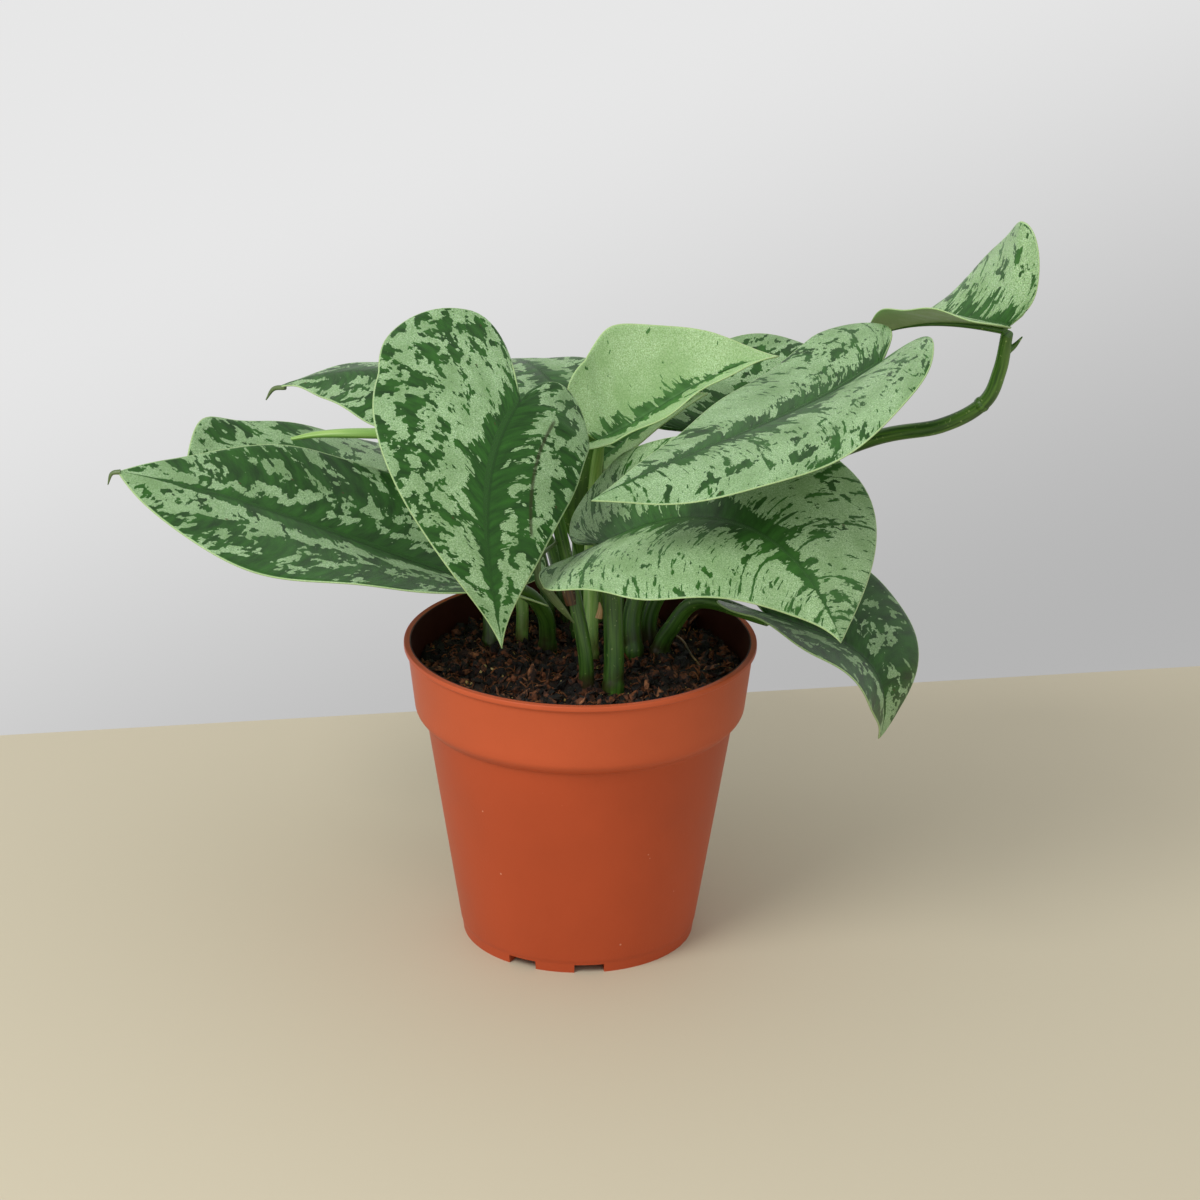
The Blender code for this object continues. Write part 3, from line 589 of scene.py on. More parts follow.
def pot_material():
    """Moulded plastic: clouded terracotta with pale flecks, painted shade below the band, dark with
    soil and painted shade inside its rim.
    """
    n = Nodes(bpy.data.materials.new("pot_plastic"))
    place = n.place()
    x, y, z = n.split(place)
    cloud = n.noise(place, 28.0, 3.0)
    # Painted shade: the body below the band is darker than the band.
    body_shade = n.ramp(z, *POT_SHADE_STEP_Z, 0.0, 1.0, True)
    body = n.mix(body_shade, srgb(POT_BODY_SHADED_COLOUR), srgb(POT_BAND_COLOUR))
    body = n.mix(n.ramp(cloud, 0.3, 0.7, 0.12, 0.0), body, srgb(POT_CLOUD_COLOUR))
    fleck = n.dots(place, 190.0, 0.04, 60.0, 0.62)
    body = n.mix(n.times(fleck, 0.45), body, srgb(POT_FLECK_COLOUR))
    # Inside the rim, above the band's foot, the wall is darkened with soil and painted shade.
    radius = n.math("SQRT", n.plus(n.times(x, x), n.times(y, y)))
    wall = n.math("MULTIPLY_ADD", z, POT_WALL_LEAN, POT_WALL_FOOT * MM)
    soil_and_shade = n.times(n.math("LESS_THAN", radius, wall),
                     n.math("GREATER_THAN", z, (POT_HEIGHT - BAND_HEIGHT) * MM))
    n.set("Base Color", n.mix(n.times(soil_and_shade, POT_SOIL_AND_SHADE), body, srgb(POT_SOIL_AND_SHADE_COLOUR)))
    n.set("Roughness", n.ramp(cloud, 0.2, 0.8, 0.40, 0.52))
    n.set("Specular IOR Level", 0.25)
    height = n.plus(n.noise(place, 1400.0, 2.0), n.times(cloud, 2.0))
    n.set("Normal", n.bump(height, 0.00008, 0.5))
    return n.owner


def soil_material(name):
    """Damp potting mix, or one kind of loose bit in it."""
    dark, light, scale, roughness, lowest = SOIL_FINISHES[name]
    n = Nodes(bpy.data.materials.new(name))
    place = n.place()
    tint = n.ramp(n.noise(place, scale, 4.0, 0.6), lowest, lowest + SOIL_CONTRAST)
    n.set("Base Color", n.mix(tint, srgb(dark), srgb(light)))
    n.set("Roughness", roughness)
    n.set("Normal", n.bump(n.noise(place, scale * 4, 3.0), 0.0006, 0.8))
    return n.owner


def floor_material():
    """A pale matt table top with clouds that hardly show."""
    n = Nodes(bpy.data.materials.new("floor"))
    cloud = n.ramp(n.noise(n.place(), 3.0, 1.0), 0.3, 0.7)
    shade = [0.985 * c for c in FLOOR_COLOUR]
    n.set("Base Color", n.mix(cloud, srgb(FLOOR_COLOUR), srgb(shade)))
    n.set("Roughness", 0.7)
    return n.owner


def bezier(points, t):
    p = np.asarray(points, float)
    t = np.asarray(t, float)[:, None]
    u = 1 - t
    return u ** 3 * p[0] + 3 * u ** 2 * t * p[1] + 3 * u * t ** 2 * p[2] + t ** 3 * p[3]


def through(points, steps):
    """A smooth curve through the points, with steps samples between neighbours."""
    p = np.asarray(points, float)
    p = np.vstack([2 * p[0] - p[1], p, 2 * p[-1] - p[-2]])
    t = np.arange(steps)[:, None] / steps
    spans = []
    for a, b, c, d in zip(p, p[1:], p[2:], p[3:]):
        spans.append(0.5 * (2 * b + (c - a) * t + (2 * a - 5 * b + 4 * c - d) * t ** 2
                            + (3 * b - a - 3 * c + d) * t ** 3))
    return np.vstack([*spans, p[-2]])


def distances(points):
    """How far along its line each point lies."""
    return np.r_[0, np.cumsum(np.linalg.norm(np.diff(points, axis=0), axis=1))]


def ease(x):
    x = np.clip(x, 0, 1)
    return x * x * (3 - 2 * x)


def margin(length, width, lobe, widest, blunt, full):
    """Half a heart-shaped outline from the notch round the lobe to the tip: across and along."""
    wide_y = widest * length
    rest = length - wide_y
    lobe_x = LOBE_CENTRE * width
    notch = [(0, 0), (NOTCH_OPENING * width, -NOTCH_DEPTH_SHARE * lobe),
             (0.5 * lobe_x, -lobe), (lobe_x, -lobe)]
    shoulder = [(lobe_x, -lobe), (lobe_x + LOBE_FULLNESS * (width - lobe_x), -lobe),
                (width, wide_y - SHOULDER_FULLNESS * (wide_y + lobe)), (width, wide_y)]
    flank = [(width, wide_y), (width, wide_y + FLANK_FULLNESS * rest),
             (full * width, length - blunt * rest), (0, length)]
    t = np.linspace(0, 1, MARGIN_STEPS)
    return np.vstack([bezier(notch, t)[:-1], bezier(shoulder, t)[:-1], bezier(flank, t)])


class LeafShape:
    """Turns places on the flat leaf, across and along its midrib, into places on the plant."""

    def __init__(self, spec):
        self.spec = spec
        start = np.array(spec["junction"], float)
        end = np.array(spec["tip"], float)
        chord = (end - start) / np.linalg.norm(end - start)
        up = np.array((0, 0, 1.0))
        up = up - (up @ chord) * chord
        up = up / np.linalg.norm(up)
        self.side = np.cross(chord, up)
        bow, sweep = spec["bow"], spec["sweep"]
        first = start + (end - start) / 3 + up * bow[0] + self.side * sweep[0]
        second = start + (end - start) * 2 / 3 + up * bow[1] + self.side * sweep[1]
        self.control = np.array([start, first, second, end])
        self.t = np.linspace(0, 1, 201)
        self.arc = distances(bezier(self.control, self.t))
        self.length = self.arc[-1]

    def frame(self, along):
        """Midrib points and upward normals. Before the junction the line runs on."""
        t = np.interp(np.clip(along, 0, self.length), self.arc, self.t)
        p = self.control
        u, v = (1 - t)[:, None], t[:, None]
        slope = 3 * (u ** 2 * (p[1] - p[0]) + 2 * u * v * (p[2] - p[1]) + v ** 2 * (p[3] - p[2]))
        slope = slope - (slope @ self.side)[:, None] * self.side
        tangent = slope / np.linalg.norm(slope, axis=1, keepdims=True)
        place = bezier(p, t) + tangent * np.minimum(along, 0)[:, None]
        return place, np.cross(self.side, tangent)

    def place(self, across, along, half, lift):
        """Places of one half's points, raised from the blade's curved sheet by lift."""
        s = self.spec
        place, normal = self.frame(along)
        share = across / s["width"][half]
        run = np.clip(along / self.length, 0, 1)
        behind = np.clip(-along / s["lobes"][half], 0, 1)
        fold = s["fold"][half] + (s["fold_tip"][half] - s["fold"][half]) * run
        curl = s["curl"][half] + (s["curl_tip"][half] - s["curl"][half]) * run
        curl = curl + s["lobe_curl"][half] * behind
        steps = np.linspace(0, 1, SLOPE_STEPS)[None, :]
        slope = fold[:, None] + (curl * share)[:, None] * steps
        if self.creased(half):
            slope = slope + self.crease_turn(across, along, steps)
        slope = np.radians(slope)
        out = across * np.cos(slope).mean(1)
        rise = across * np.sin(slope).mean(1) + lift
        sign = 1 if half else -1
        return place + sign * out[:, None] * self.side + rise[:, None] * normal

    def creased(self, half):
        crease = self.spec["crease"]
        return crease is not None and crease[0] == half

    def crease_line(self, along):
        """How far from the midrib the fold line runs, beside each place along the leaf."""
        _, (x0, y0), (x1, y1), _ = self.spec["crease"]
        return x0 + (x1 - x0) * (along - y0) / (y1 - y0)

    def crease_turn(self, across, along, steps):
        """The slope that a fold line adds beyond itself."""
        turn = self.spec["crease"][3]
        past = (across[:, None] * steps - self.crease_line(along)[:, None]) / CREASE_ROUND
        return turn * ease(past + 0.5)

    def rows(self, half):
        """Where each row leaves the midrib and meets the margin, and the margin's length."""
        s = self.spec
        line = margin(self.length, s["width"][half], s["lobes"][half], s["widest"][half],
                      s["blunt"][half], s["full"][half])
        arc = distances(line)
        share = np.linspace(0, 1, BLADE_ROWS + 1)
        edge = np.stack([np.interp(share, arc / arc[-1], line[:, k]) for k in (0, 1)], -1)
        past_fan = np.clip((share - FAN_SHARE) / (1 - FAN_SHARE), 0, 1)
        start = past_fan ** VEIN_CROWDING * self.length
        return np.stack([np.zeros_like(start), start], -1), edge, arc[-1]


def in_metres(points):
    return [tuple(float(c) * MM for c in p) for p in points]


def mesh_object(name, points, faces, material, sharp_angle=None):
    """An object from points in millimetres, shaded smooth up to the angle if there is one."""
    mesh = bpy.data.meshes.new(name)
    mesh.from_pydata(in_metres(points), [], faces)
    mesh.validate()
    made = bpy.data.objects.new(name, mesh)
    bpy.context.scene.collection.objects.link(made)
    mesh.materials.append(material)
    mesh.shade_smooth()
    if sharp_angle:
        mesh.set_sharp_from_angle(angle=math.radians(sharp_angle))
    return made


def point_attribute(made, name, values):
    layer = made.data.attributes.new(name, "FLOAT_VECTOR", "POINT")
    layer.data.foreach_set("vector", np.asarray(values, np.float32).ravel())


def face_outwards(mesh):
    """Drops loose points and turns the faces outwards."""
    work = bmesh.new()
    work.from_mesh(mesh)
    loose = [v for v in work.verts if not v.link_faces]
    bmesh.ops.delete(work, geom=loose, context="VERTS")
    bmesh.ops.recalc_face_normals(work, faces=work.faces)
    work.to_mesh(mesh)
    work.free()


def half_grid(shape, half, phase):
    """A half blade's rows of points with their places on the leaf and along the veins."""
    s = shape.spec
    start, edge, margin_length = shape.rows(half)
    q = np.linspace(0, 1, BLADE_COLUMNS + 1)
    share = np.linspace(0, 1, BLADE_ROWS + 1)
    flat = start[:, None] + (edge - start)[:, None] * q[None, :, None]
    arch = VEIN_ARCH * shape.length * 4 * q * (1 - q)
    flat[..., 1] -= arch[None] * (np.sin(math.pi * share) ** 1.5)[:, None]
    reach = np.linalg.norm(edge - start, axis=1)
    out = reach[:, None] * q[None]
    cross = np.repeat((share * margin_length * VEIN_RUN)[:, None], len(q), 1)
    away = reach[:, None] * (1 - q)[None]
    along = flat[..., 1] / shape.length
    quilt = np.cos(2 * math.pi * cross / VEIN_SPACING)
    lift = -VEIN_RELIEF * quilt * np.sin(math.pi * q)[None] ** 0.7
    groove = np.exp(-(flat[..., 0] / GROOVE_WIDTH) ** 2) * np.clip(1.2 - along, 0, 1)
    swing = np.sin(2 * math.pi * (s["waves"] * along + phase))
    wave = s["wave"] * swing * q[None] ** 2 * np.clip(reach / 12, 0, 1)[:, None]
    lift = lift - GROOVE_DEPTH * groove + wave
    place = shape.place(flat[..., 0].ravel(), flat[..., 1].ravel(), half, lift.ravel())
    sign = 1 if half else -1
    where = np.stack([sign * flat[..., 0], along, np.repeat(q[None], len(share), 0)], -1)
    vein = np.stack([cross + HALF_APART * half, out, away], -1)
    fold = np.zeros_like(where)
    if shape.creased(half):
        (_, y0), (_, y1) = s["crease"][1:3]
        fold[..., 0] = flat[..., 0] - shape.crease_line(flat[..., 1])
        fold[..., 1] = ease((flat[..., 1] - y0 + 2) / 2) * ease((y1 + 2 - flat[..., 1]) / 2)
    return place.reshape(*out.shape, 3), where, vein, fold


def sheet(shape, seed):
    """The blade's middle sheet: points with three attributes, thicknesses, faces and rims.

    The halves share their points at the junction, along the midrib and at the tip.
    """
    halves = [half_grid(shape, half, WAVE_APART * seed + 0.5 * half) for half in (0, 1)]
    parts = [np.concatenate(pair).reshape(-1, 3) for pair in zip(*halves)]
    numbers = np.arange(len(parts[0])).reshape(2, BLADE_ROWS + 1, BLADE_COLUMNS + 1)
    tip = numbers[0, -1, 0]
    numbers[1, :, 0] = numbers[0, :, 0]
    numbers[:, shape.rows(0)[0][:, 1] == 0, 0] = 0
    numbers[:, 0] = 0
    numbers[:, -1] = tip
    thick = BLADE_THICKNESS + (MARGIN_THICKNESS - BLADE_THICKNESS) * parts[1][:, 2]
    thick[tip] = MARGIN_THICKNESS
    faces, rims = [], []
    for half, turn in zip(numbers, (-1, 1)):
        quads = np.stack([half[:-1, :-1], half[:-1, 1:], half[1:, 1:], half[1:, :-1]], -1)
        for quad in quads.reshape(-1, 4).tolist():
            face = list(dict.fromkeys(quad))
            if len(face) > 2:
                faces.append(face[::turn])
        rims.append(half[:, -1].tolist()[::turn])
    return parts, thick, faces, rims


def thicken(points, faces, thick, rims):
    """Upper and lower faces about a sheet, joined by a rounded rim."""
    normal = np.zeros_like(points)
    for face in faces:
        corner = points[face]
        normal[face] += np.cross(corner[2] - corner[0], corner[-1] - corner[1])
    normal /= np.maximum(np.linalg.norm(normal, axis=1, keepdims=True), 1e-12)
    count = len(points)
    edge = points.copy()
    for line in rims:
        run = points[line[:1] + line + line[-1:]]
        away = np.cross(run[2:] - run[:-2], normal[line])
        away /= np.maximum(np.linalg.norm(away, axis=1, keepdims=True), 1e-9)
        edge[line] = points[line] + away * thick[line][:, None] * MARGIN_ROUND
    half = thick[:, None] / 2
    solid = np.vstack([points + normal * half, points - normal * half, edge])
    out = [list(f) for f in faces] + [[v + count for v in f[::-1]] for f in faces]
    for line in rims:
        for a, b in zip(line, line[1:]):
            out.append([b, a, a + 2 * count, b + 2 * count])
            out.append([b + 2 * count, a + 2 * count, a + count, b + count])
    return solid, out


def blade(name, spec, seed):
    """The blade as one closed mesh with both faces, and the attributes its markings use."""
    shape = LeafShape(spec)
    (points, where, vein, fold), thick, faces, rims = sheet(shape, seed)
    solid, solid_faces = thicken(points, faces, thick, rims)
    made = mesh_object(name + "_blade", solid, solid_faces, bpy.data.materials["leaf_satin"])
    side = np.zeros((len(solid), 3))
    side[len(points):2 * len(points), 0] = 1.0
    side[:, 1] = seed * LEAF_APART
    side[:, 2] = spec["young"]
    point_attribute(made, "leaf_place", np.vstack([where] * 3))
    point_attribute(made, "leaf_vein", np.vstack([vein] * 3))
    point_attribute(made, "leaf_crease", np.vstack([fold] * 3))
    point_attribute(made, "leaf_side", side)
    point_attribute(made, "leaf_marks", [spec["marks"]] * len(solid))
    face_outwards(made.data)
    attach(made, "root")
    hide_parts(name)
    return shape


def ring(radius, height, sides):
    """Points in a circle round the z axis."""
    turns = [2 * math.pi * k / sides for k in range(sides)]
    return [(radius * math.cos(a), radius * math.sin(a), height) for a in turns]


def skin(rings, closed=False):
    """Points and faces over rings of points, of which some may be single points."""
    points, numbers, faces = [], [], []
    for line in rings:
        numbers.append(range(len(points), len(points) + len(line)))
        points.extend(line)
    following = numbers[1:] + numbers[:1] if closed else numbers[1:]
    for upper, lower in zip(numbers, following):
        for k in range(max(len(upper), len(lower))):
            quad = (upper[k % len(upper)], lower[k % len(lower)],
                    lower[(k + 1) % len(lower)], upper[(k + 1) % len(upper)])
            face = list(dict.fromkeys(quad))
            if len(face) > 2:
                faces.append(face)
    return points, faces


def tube(points, radii, sides, flat=None):
    """A closed rod, round or pressed flat along a direction to a share of its thickness."""
    p = np.asarray(points, float)
    tangent = np.gradient(p, axis=0)
    tangent /= np.linalg.norm(tangent, axis=1, keepdims=True)
    across = np.cross(tangent[0], TUBE_START)
    pressed, kept = flat or ((0, 0, 1), 1.0)
    rings, places = [], []
    for centre, along, radius, far in zip(p, tangent, radii, distances(p)):
        across = across - (across @ along) * along
        across = across / np.linalg.norm(across)
        other = np.cross(along, across)
        turns = np.array(ring(1.0, far, sides))
        out = radius * (turns[:, :1] * across + turns[:, 1:2] * other)
        out = out - (1 - kept) * np.outer(out @ pressed, pressed)
        rings.append(centre + out)
        places.extend(turns[:, (2, 0, 1)])
    points, faces = skin(rings)
    caps = [range(sides)[::-1], range(len(points) - sides, len(points))]
    return points, places, [face[::-1] for face in faces] + [list(cap) for cap in caps]


class Batch:
    """Gathers several closed shapes into one mesh."""

    def __init__(self):
        self.points, self.places, self.faces = [], [], []

    def add(self, points, places, faces):
        base = len(self.points)
        self.points.extend(points)
        self.places.extend(places)
        self.faces.extend([[v + base for v in f] for f in faces])

    def tube(self, points, radii, sides=STALK_SIDES, flat=None):
        self.add(*tube(points, radii, sides, flat))

    def build(self, name, material, sharp_angle=60):
        made = mesh_object(name, self.points, self.faces, material, sharp_angle)
        point_attribute(made, "stalk_place", self.places)
        return made


def soil_height(x, y):
    """The mounded soil surface, highest on the pot's axis."""
    share = np.minimum(1, np.hypot(x, y) / RIM_RADIUS)
    return SOIL_EDGE_Z + SOIL_MOUND * (1 - share ** 2)


def stalk_route(listed):
    """The stalk's points, with its foot straight until it is out of the soil."""
    x, y = listed[0][:2]
    top = soil_height(x, y)
    return [(x, y, top - FOOT_SINK), (x, y, top + 1.0)] + [tuple(p) for p in listed[1:]]


def stalk(name, spec, shape):
    """The stalk, slimmer at its neck, and the midrib under the blade."""
    foot_radius, top_radius = spec["stalk_radius"]

    def beneath(share, radius):
        place, normal = shape.frame(np.array([share * shape.length]))
        return place[0] - RIB_SINK * radius * normal[0]

    route = through(stalk_route(spec["stalk"]) + [tuple(beneath(0, top_radius))], STALK_STEPS)
    share = np.linspace(0, 1, len(route))
    radii = foot_radius + (top_radius - foot_radius) * share
    radii[:FOOT_SAMPLES] = foot_radius
    batch = Batch()
    batch.tube(route, radii * (1 + (STALK_SWELL - 1) * ease((1 - share) / STALK_NECK)))
    shares = np.linspace(RIB_BEGIN, RIB_SHARE, RIB_SAMPLES)[1:]
    rib_radii = np.linspace(top_radius * RIB_SLIMMING, RIB_END_RADIUS, RIB_SAMPLES)[1:]
    batch.tube([beneath(a, r) for a, r in zip(shares, rib_radii)], rib_radii, RIB_SIDES)
    finish = "stalk_young" if name in YOUNG_STALKS else "stalk_green"
    made = batch.build(name + "_stalk", bpy.data.materials[finish])
    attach(made, "root")
    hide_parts(name)


def small_pieces():
    """The vine's node and bract, two leaf tips, sheaths, a scar, an inner leaf and a rootlet."""
    for name, finish, slot, flat, listed in SMALL_PIECES:
        stations = through(listed, SMALL_STEPS)
        radii = np.maximum(stations[:, 3], SMALL_LEAST_RADIUS)
        batch = Batch()
        batch.tube(stations[:, :3], radii, SMALL_SIDES, flat)
        made = batch.build(name, bpy.data.materials[finish])
        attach(made, "root")


def rolled_leaf():
    """The young leaf that is still rolled, a little flattened."""
    route = stalk_route([place for place, _ in ROLLED_LEAF])
    foot_radius = ROLLED_LEAF[0][1]
    sizes = [foot_radius] + [radius for _, radius in ROLLED_LEAF]
    stations = through(np.column_stack([route, sizes]), STALK_STEPS)
    stations[:FOOT_SAMPLES, 3] = foot_radius
    batch = Batch()
    batch.tube(stations[:, :3], stations[:, 3], flat=ROLLED_FLAT)
    made = batch.build("leaf_rolled_spindle", bpy.data.materials["stalk_young"])
    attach(made, "root")
    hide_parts("leaf_rolled")


def rounded(corners):
    """A profile whose corners are turned into arcs. Each corner is radius, height and rounding."""
    out = []
    for i, (r, z, size) in enumerate(corners):
        if size == 0 or i in (0, len(corners) - 1):
            out.append((r, z))
            continue
        here = np.array((r, z), float)
        before = np.array(corners[i - 1][:2], float) - here
        after = np.array(corners[i + 1][:2], float) - here
        size = min(size, 0.45 * np.linalg.norm(before), 0.45 * np.linalg.norm(after))
        a = here + before / np.linalg.norm(before) * size
        b = here + after / np.linalg.norm(after) * size
        t = np.linspace(0, 1, ROUNDING_STEPS + 1)[:, None]
        out.extend((1 - t) ** 2 * a + 2 * t * (1 - t) * here + t ** 2 * b)
    return out


def pot_profile():
    """The pot's section with rounded edges, down the outside and up the inside."""
    top = POT_HEIGHT
    band_z = top - BAND_HEIGHT
    body_z = band_z - BAND_STEP
    brim = BAND_TOP_RADIUS - WALL
    outside = [
        (RIM_RADIUS - 0.9, top, 0.4), (RIM_RADIUS, top, 0.7), (RIM_RADIUS, top - LIP_DROP, 0.5),
        (BAND_TOP_RADIUS, top - LIP_DROP - 0.5, 0.4), (BAND_FOOT_RADIUS, band_z, 1.2),
        (BAND_FOOT_RADIUS - 1.6, band_z - 2.0, 1.0), (BODY_TOP_RADIUS, body_z, 1.6),
        (BASE_RADIUS + 0.4, FOOT_HEIGHT + 1.2, 0.3), (BASE_RADIUS, FOOT_HEIGHT, 0.3),
        (BASE_RADIUS - 0.4, 0, 0.5)]
    underside = [
        (FOOT_INNER_RADIUS, 0, 0.4), (FOOT_INNER_RADIUS - 0.4, FOOT_HEIGHT, 0.6),
        (CENTRE_FOOT_RADIUS + 0.4, FOOT_HEIGHT, 0.4), (CENTRE_FOOT_RADIUS, 0, 0.4), (0, 0, 0)]
    inside = [
        (0, FLOOR_TOP, 0), (FLOOR_RADIUS, FLOOR_TOP, 1.5),
        (BODY_TOP_RADIUS - WALL, body_z + 0.6, 1.0), (BAND_FOOT_RADIUS - WALL, band_z - 0.4, 1.0),
        (brim, top - LIP_DROP - 0.5, 0.5), (brim + 0.3, top, 0.3)]
    return rounded(outside) + rounded(underside) + rounded(inside)


def notch_cutter(angle):
    """A box across the foot ring, from below the table up to the notch's height."""
    c, s = math.cos(angle), math.sin(angle)
    points = []
    for z in (-1.0, NOTCH_HEIGHT):
        for outwards, aside in ((-1, -1), (1, -1), (1, 1), (-1, 1)):
            u = BASE_RADIUS + outwards * NOTCH_DEPTH
            v = aside * NOTCH_WIDTH / 2
            points.append((u * c - v * s, u * s + v * c, z))
    sides = [[k, (k + 1) % 4, (k + 1) % 4 + 4, k + 4] for k in range(4)]
    return points, [[3, 2, 1, 0], [4, 5, 6, 7]] + sides


def drain_cutter(angle):
    """A rod through the pot's floor."""
    x, y = DRAIN_CIRCLE * math.cos(angle), DRAIN_CIRCLE * math.sin(angle)
    line = [(x, y, 0.5), (x, y, FLOOR_TOP + 1)]
    points, _, faces = tube(line, (DRAIN_RADIUS, DRAIN_RADIUS), DRAIN_SIDES)
    return points, faces


def cut_away(made, cutters):
    """Takes closed shapes, each given as points and faces, out of a piece."""
    group = bpy.data.collections.new("pot_cutters")
    for points, faces in cutters:
        mesh = bpy.data.meshes.new("cutter")
        mesh.from_pydata(in_metres(points), [], faces)
        face_outwards(mesh)
        group.objects.link(bpy.data.objects.new("cutter", mesh))
    cut = made.modifiers.new("cut", "BOOLEAN")
    cut.operation = "DIFFERENCE"
    cut.operand_type = "COLLECTION"
    cut.collection = group
    cut.solver = "EXACT"
    view = bpy.context.evaluated_depsgraph_get()
    mesh = bpy.data.meshes.new_from_object(made.evaluated_get(view))
    made.modifiers.clear()
    made.data = mesh
    for piece in list(group.objects):
        bpy.data.objects.remove(piece, do_unlink=True)
    bpy.data.collections.remove(group)


def pot(material):
    """The nursery pot with its foot notches and drain holes."""
    rings = [ring(r, z, POT_SIDES) if r else [(0, 0, z)] for r, z in pot_profile()]
    made = mesh_object("pot_shell", *skin(rings, closed=True), material)
    cutters = [notch_cutter(math.radians(angle)) for angle in NOTCH_ANGLES]
    for k in range(DRAIN_COUNT):
        cutters.append(drain_cutter(2 * math.pi * (k + 0.5) / DRAIN_COUNT))
    cut_away(made, cutters)
    mesh = made.data
    mesh.materials.clear()
    mesh.materials.append(material)
    mesh.shade_smooth()
    mesh.set_sharp_from_angle(angle=math.radians(POT_SHARP_ANGLE))
    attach(made, "root")
    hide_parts("pot")


def ground(x, y):
    """Height of the soil's uneven surface: its mound and seeded waves of falling size."""
    rng = np.random.default_rng(SEED)
    z = soil_height(x, y)
    for size, height in LUMPS:
        for _ in range(LUMP_WAVES):
            a = rng.uniform(0, 2 * math.pi)
            phase = rng.uniform(0, 2 * math.pi)
            wave = size * rng.uniform(0.7, 1.4)
            run = x * math.cos(a) + y * math.sin(a)
            z = z + height / LUMP_WAVES * np.sin(2 * math.pi * run / wave + phase)
    return z


def soil_surface(material):
    """The soil as a rough skin that goes down inside the pot's wall."""
    rings = [[(0, 0, ground(0.0, 0.0))]]
    for i in range(1, SKIN_RINGS + 1):
        x, y, _ = np.array(ring(SOIL_RADIUS * i / SKIN_RINGS, 0, SKIN_SIDES)).T
        rings.append(list(zip(x, y, ground(x, y))))
    for radius, z in SKIN_WALL:
        rings.append(ring(radius - SKIN_GAP, z, SKIN_SIDES))
    rings.append([(0, 0, SKIN_FOOT_Z)])
    made = mesh_object("soil_bed", *skin(rings), material)
    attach(made, "root")
    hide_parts("soil")


def strewn(rng, inset):
    """A random place on the soil, kept off the wall by inset."""
    radius = (SOIL_RADIUS - inset) * math.sqrt(rng.uniform())
    a = rng.uniform(0, 2 * math.pi)
    return radius * math.cos(a), radius * math.sin(a)


def crumbs(name, material, count, sizes, shape, seed):
    """Loose bits strewn over the soil, half sunk or lying on it."""
    rng = np.random.default_rng(seed)
    batch = Batch()
    for _ in range(count):
        x, y = strewn(rng, BIT_INSET)
        size = sizes[0] + (sizes[1] - sizes[0]) * rng.uniform() ** BIT_SMALLNESS
        z = ground(x, y) + size * rng.uniform(-0.2, 0.5)
        local = CHIP * (1 + rng.uniform(-0.35, 0.35, size=(len(CHIP), 1))) * shape * size
        turn = Quaternion(rng.normal(size=4)).normalized().to_matrix()
        points = local @ np.array(turn).T + (x, y, z)
        batch.add(points, [(0, 0, 0)] * len(points), CHIP_FACES)
    made = batch.build(name, material, BIT_SHARP_ANGLE)
    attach(made, "root")


def fibres(name, material, seed):
    """Thin bent root fibres and slivers lying on the soil."""
    rng = np.random.default_rng(seed)
    batch = Batch()
    for _ in range(FIBRE_COUNT):
        points = [strewn(rng, FIBRE_INSET)]
        heading = rng.uniform(0, 2 * math.pi)
        step = rng.uniform(3, 11) / FIBRE_STEPS
        turn = rng.uniform(-1.6, 1.6) / FIBRE_STEPS
        for _ in range(FIBRE_STEPS):
            heading += turn
            x, y = points[-1]
            points.append((x + step * math.cos(heading), y + step * math.sin(heading)))
        inside = np.array([p for p in points if math.hypot(*p) < SOIL_RADIUS - 1])
        if len(inside) < 4:
            continue
        rise = 0.15 + rng.uniform(0.1, 1.3) * np.sin(np.linspace(0, math.pi, len(inside)))
        route = through(np.column_stack([inside, ground(*inside.T) + rise]), 2)
        batch.tube(route, np.full(len(route), rng.uniform(0.10, 0.26)), FIBRE_SIDES)
    made = batch.build(name, material)
    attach(made, "root")


def camera():
    """The photograph's viewpoint."""
    data = bpy.data.cameras.new("camera")
    data.sensor_width = CAMERA_SENSOR
    data.lens = CAMERA_LENS
    made = bpy.data.objects.new("camera", data)
    turn = Matrix.Rotation(math.radians(90 - CAMERA_ELEVATION), 4, "X")
    turn = turn @ Matrix.Rotation(math.radians(CAMERA_ROLL), 4, "Z")
    place = (Vector(CAMERA_AIM) + turn.col[2].xyz * CAMERA_DISTANCE) * MM
    made.matrix_world = Matrix.Translation(place) @ turn
    bpy.context.scene.collection.objects.link(made)
    bpy.context.scene.camera = made


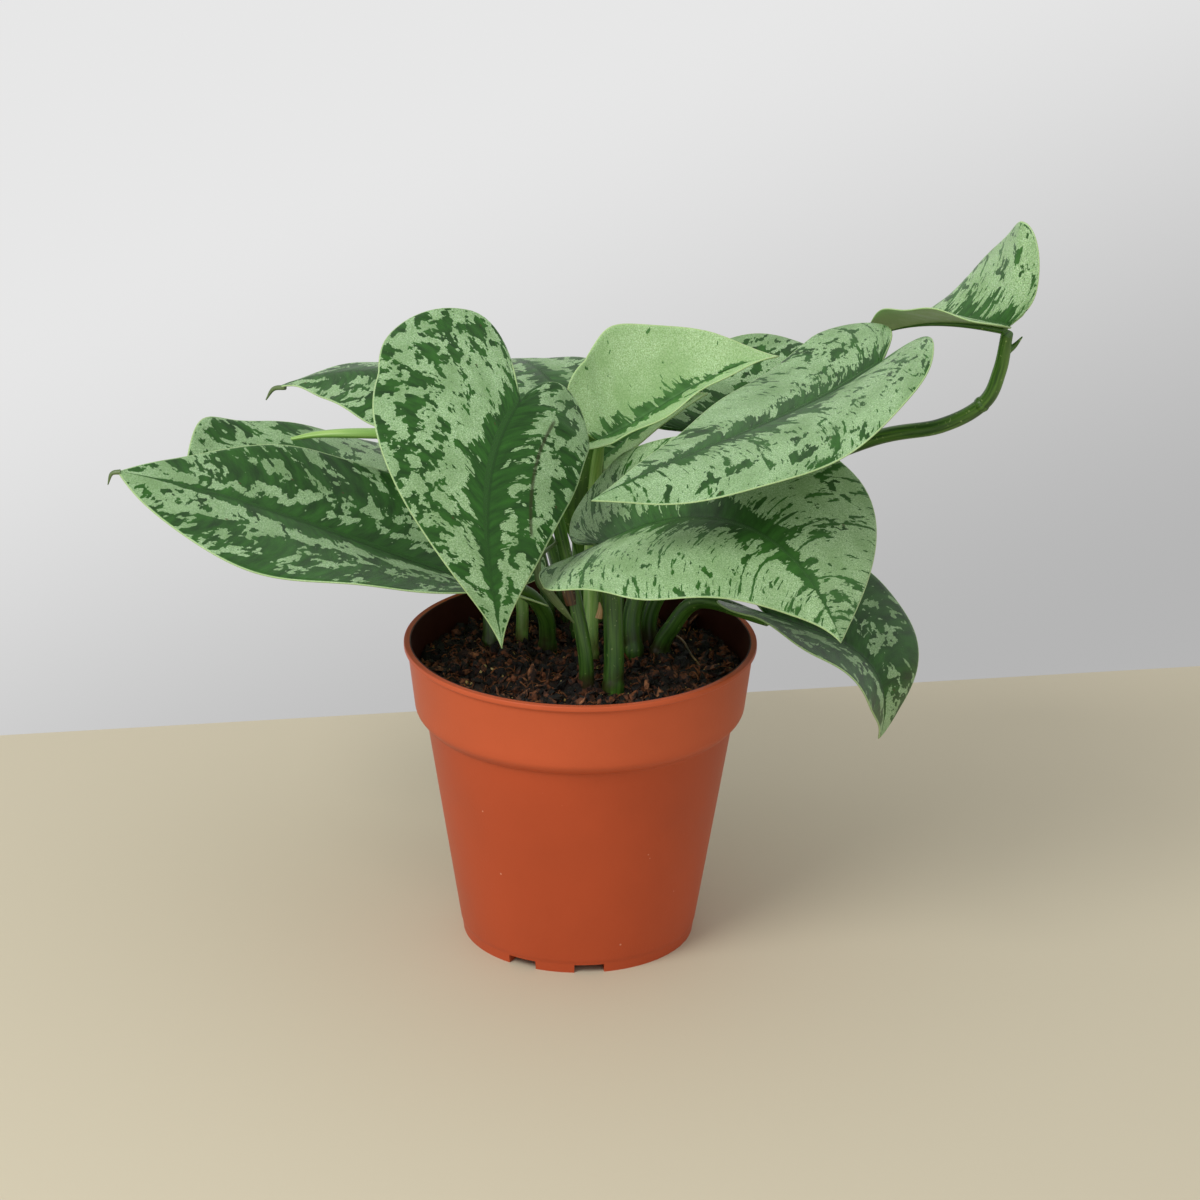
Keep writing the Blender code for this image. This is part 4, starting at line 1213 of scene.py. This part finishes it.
def table_top():
    """A pale table top with its far edge in view."""
    bpy.ops.mesh.primitive_plane_add(size=1)
    floor = bpy.context.object
    floor.name = "floor"
    turn = math.radians(TABLE_TURN)
    floor.scale = (TABLE_WIDTH, TABLE_DEPTH, 1)
    floor.rotation_euler = (0, 0, turn)
    back = Vector((-math.sin(turn), math.cos(turn), 0))
    floor.location = Vector((0, TABLE_EDGE_Y * MM, 0)) - back * TABLE_DEPTH / 2
    floor.data.materials.append(floor_material())


def key_light():
    """One broad soft light from the upper left."""
    data = bpy.data.lights.new("key", "AREA")
    data.shape = "DISK"
    data.size = KEY_WIDTH
    data.energy = KEY_POWER
    data.color = KEY_COLOUR
    made = bpy.data.objects.new("key", data)
    made.location = KEY_PLACE
    direction = Vector(KEY_AIM) - Vector(KEY_PLACE)
    made.rotation_euler = direction.to_track_quat("-Z", "Y").to_euler()
    bpy.context.scene.collection.objects.link(made)


def air():
    """Pale air all round, darker from below and most of all from the lower right."""
    world = bpy.data.worlds.new("studio")
    n = Nodes(world)
    x, _, z = n.split(n.add("ShaderNodeTexCoord").outputs["Generated"])
    aslant = n.math("MULTIPLY_ADD", x, -AIR_SLANT, z)
    lower = n.ramp(aslant, *AIR_LOW_STEP, AIR_LOWEST, AIR_BELOW, True)
    upper = n.ramp(z, *AIR_HORIZON, 0.0, AIR_ABOVE - AIR_BELOW, True)
    n.set("Color", (1, 1, 1, 1), "Background")
    n.set("Strength", n.plus(lower, upper), "Background")
    bpy.context.scene.world = world
    bpy.context.scene.view_settings.view_transform = "Standard"


def corners(box):
    return [[float(c) for c in corner] for corner in box]


def main():
    camera()
    table_top()
    key_light()
    air()
    leaf_material()
    for name, colours in STALK_FINISHES.items():
        stalk_material(name, *colours)
    for seed, (name, own) in enumerate(LEAVES.items()):
        spec = {**COMMON_LEAF, **own}
        shape = blade(name, spec, seed)
        stalk(name, spec, shape)
    rolled_leaf()
    small_pieces()
    pot(pot_material())
    soil_surface(soil_material("soil_dark"))
    for step, (name, finish, count, sizes, shape) in enumerate(SOIL_BITS, 1):
        crumbs(name, soil_material(finish), count, sizes, shape, SEED + step)
    fibres("soil_fibres", soil_material("soil_fibre"), SEED + len(SOIL_BITS) + 1)


main()
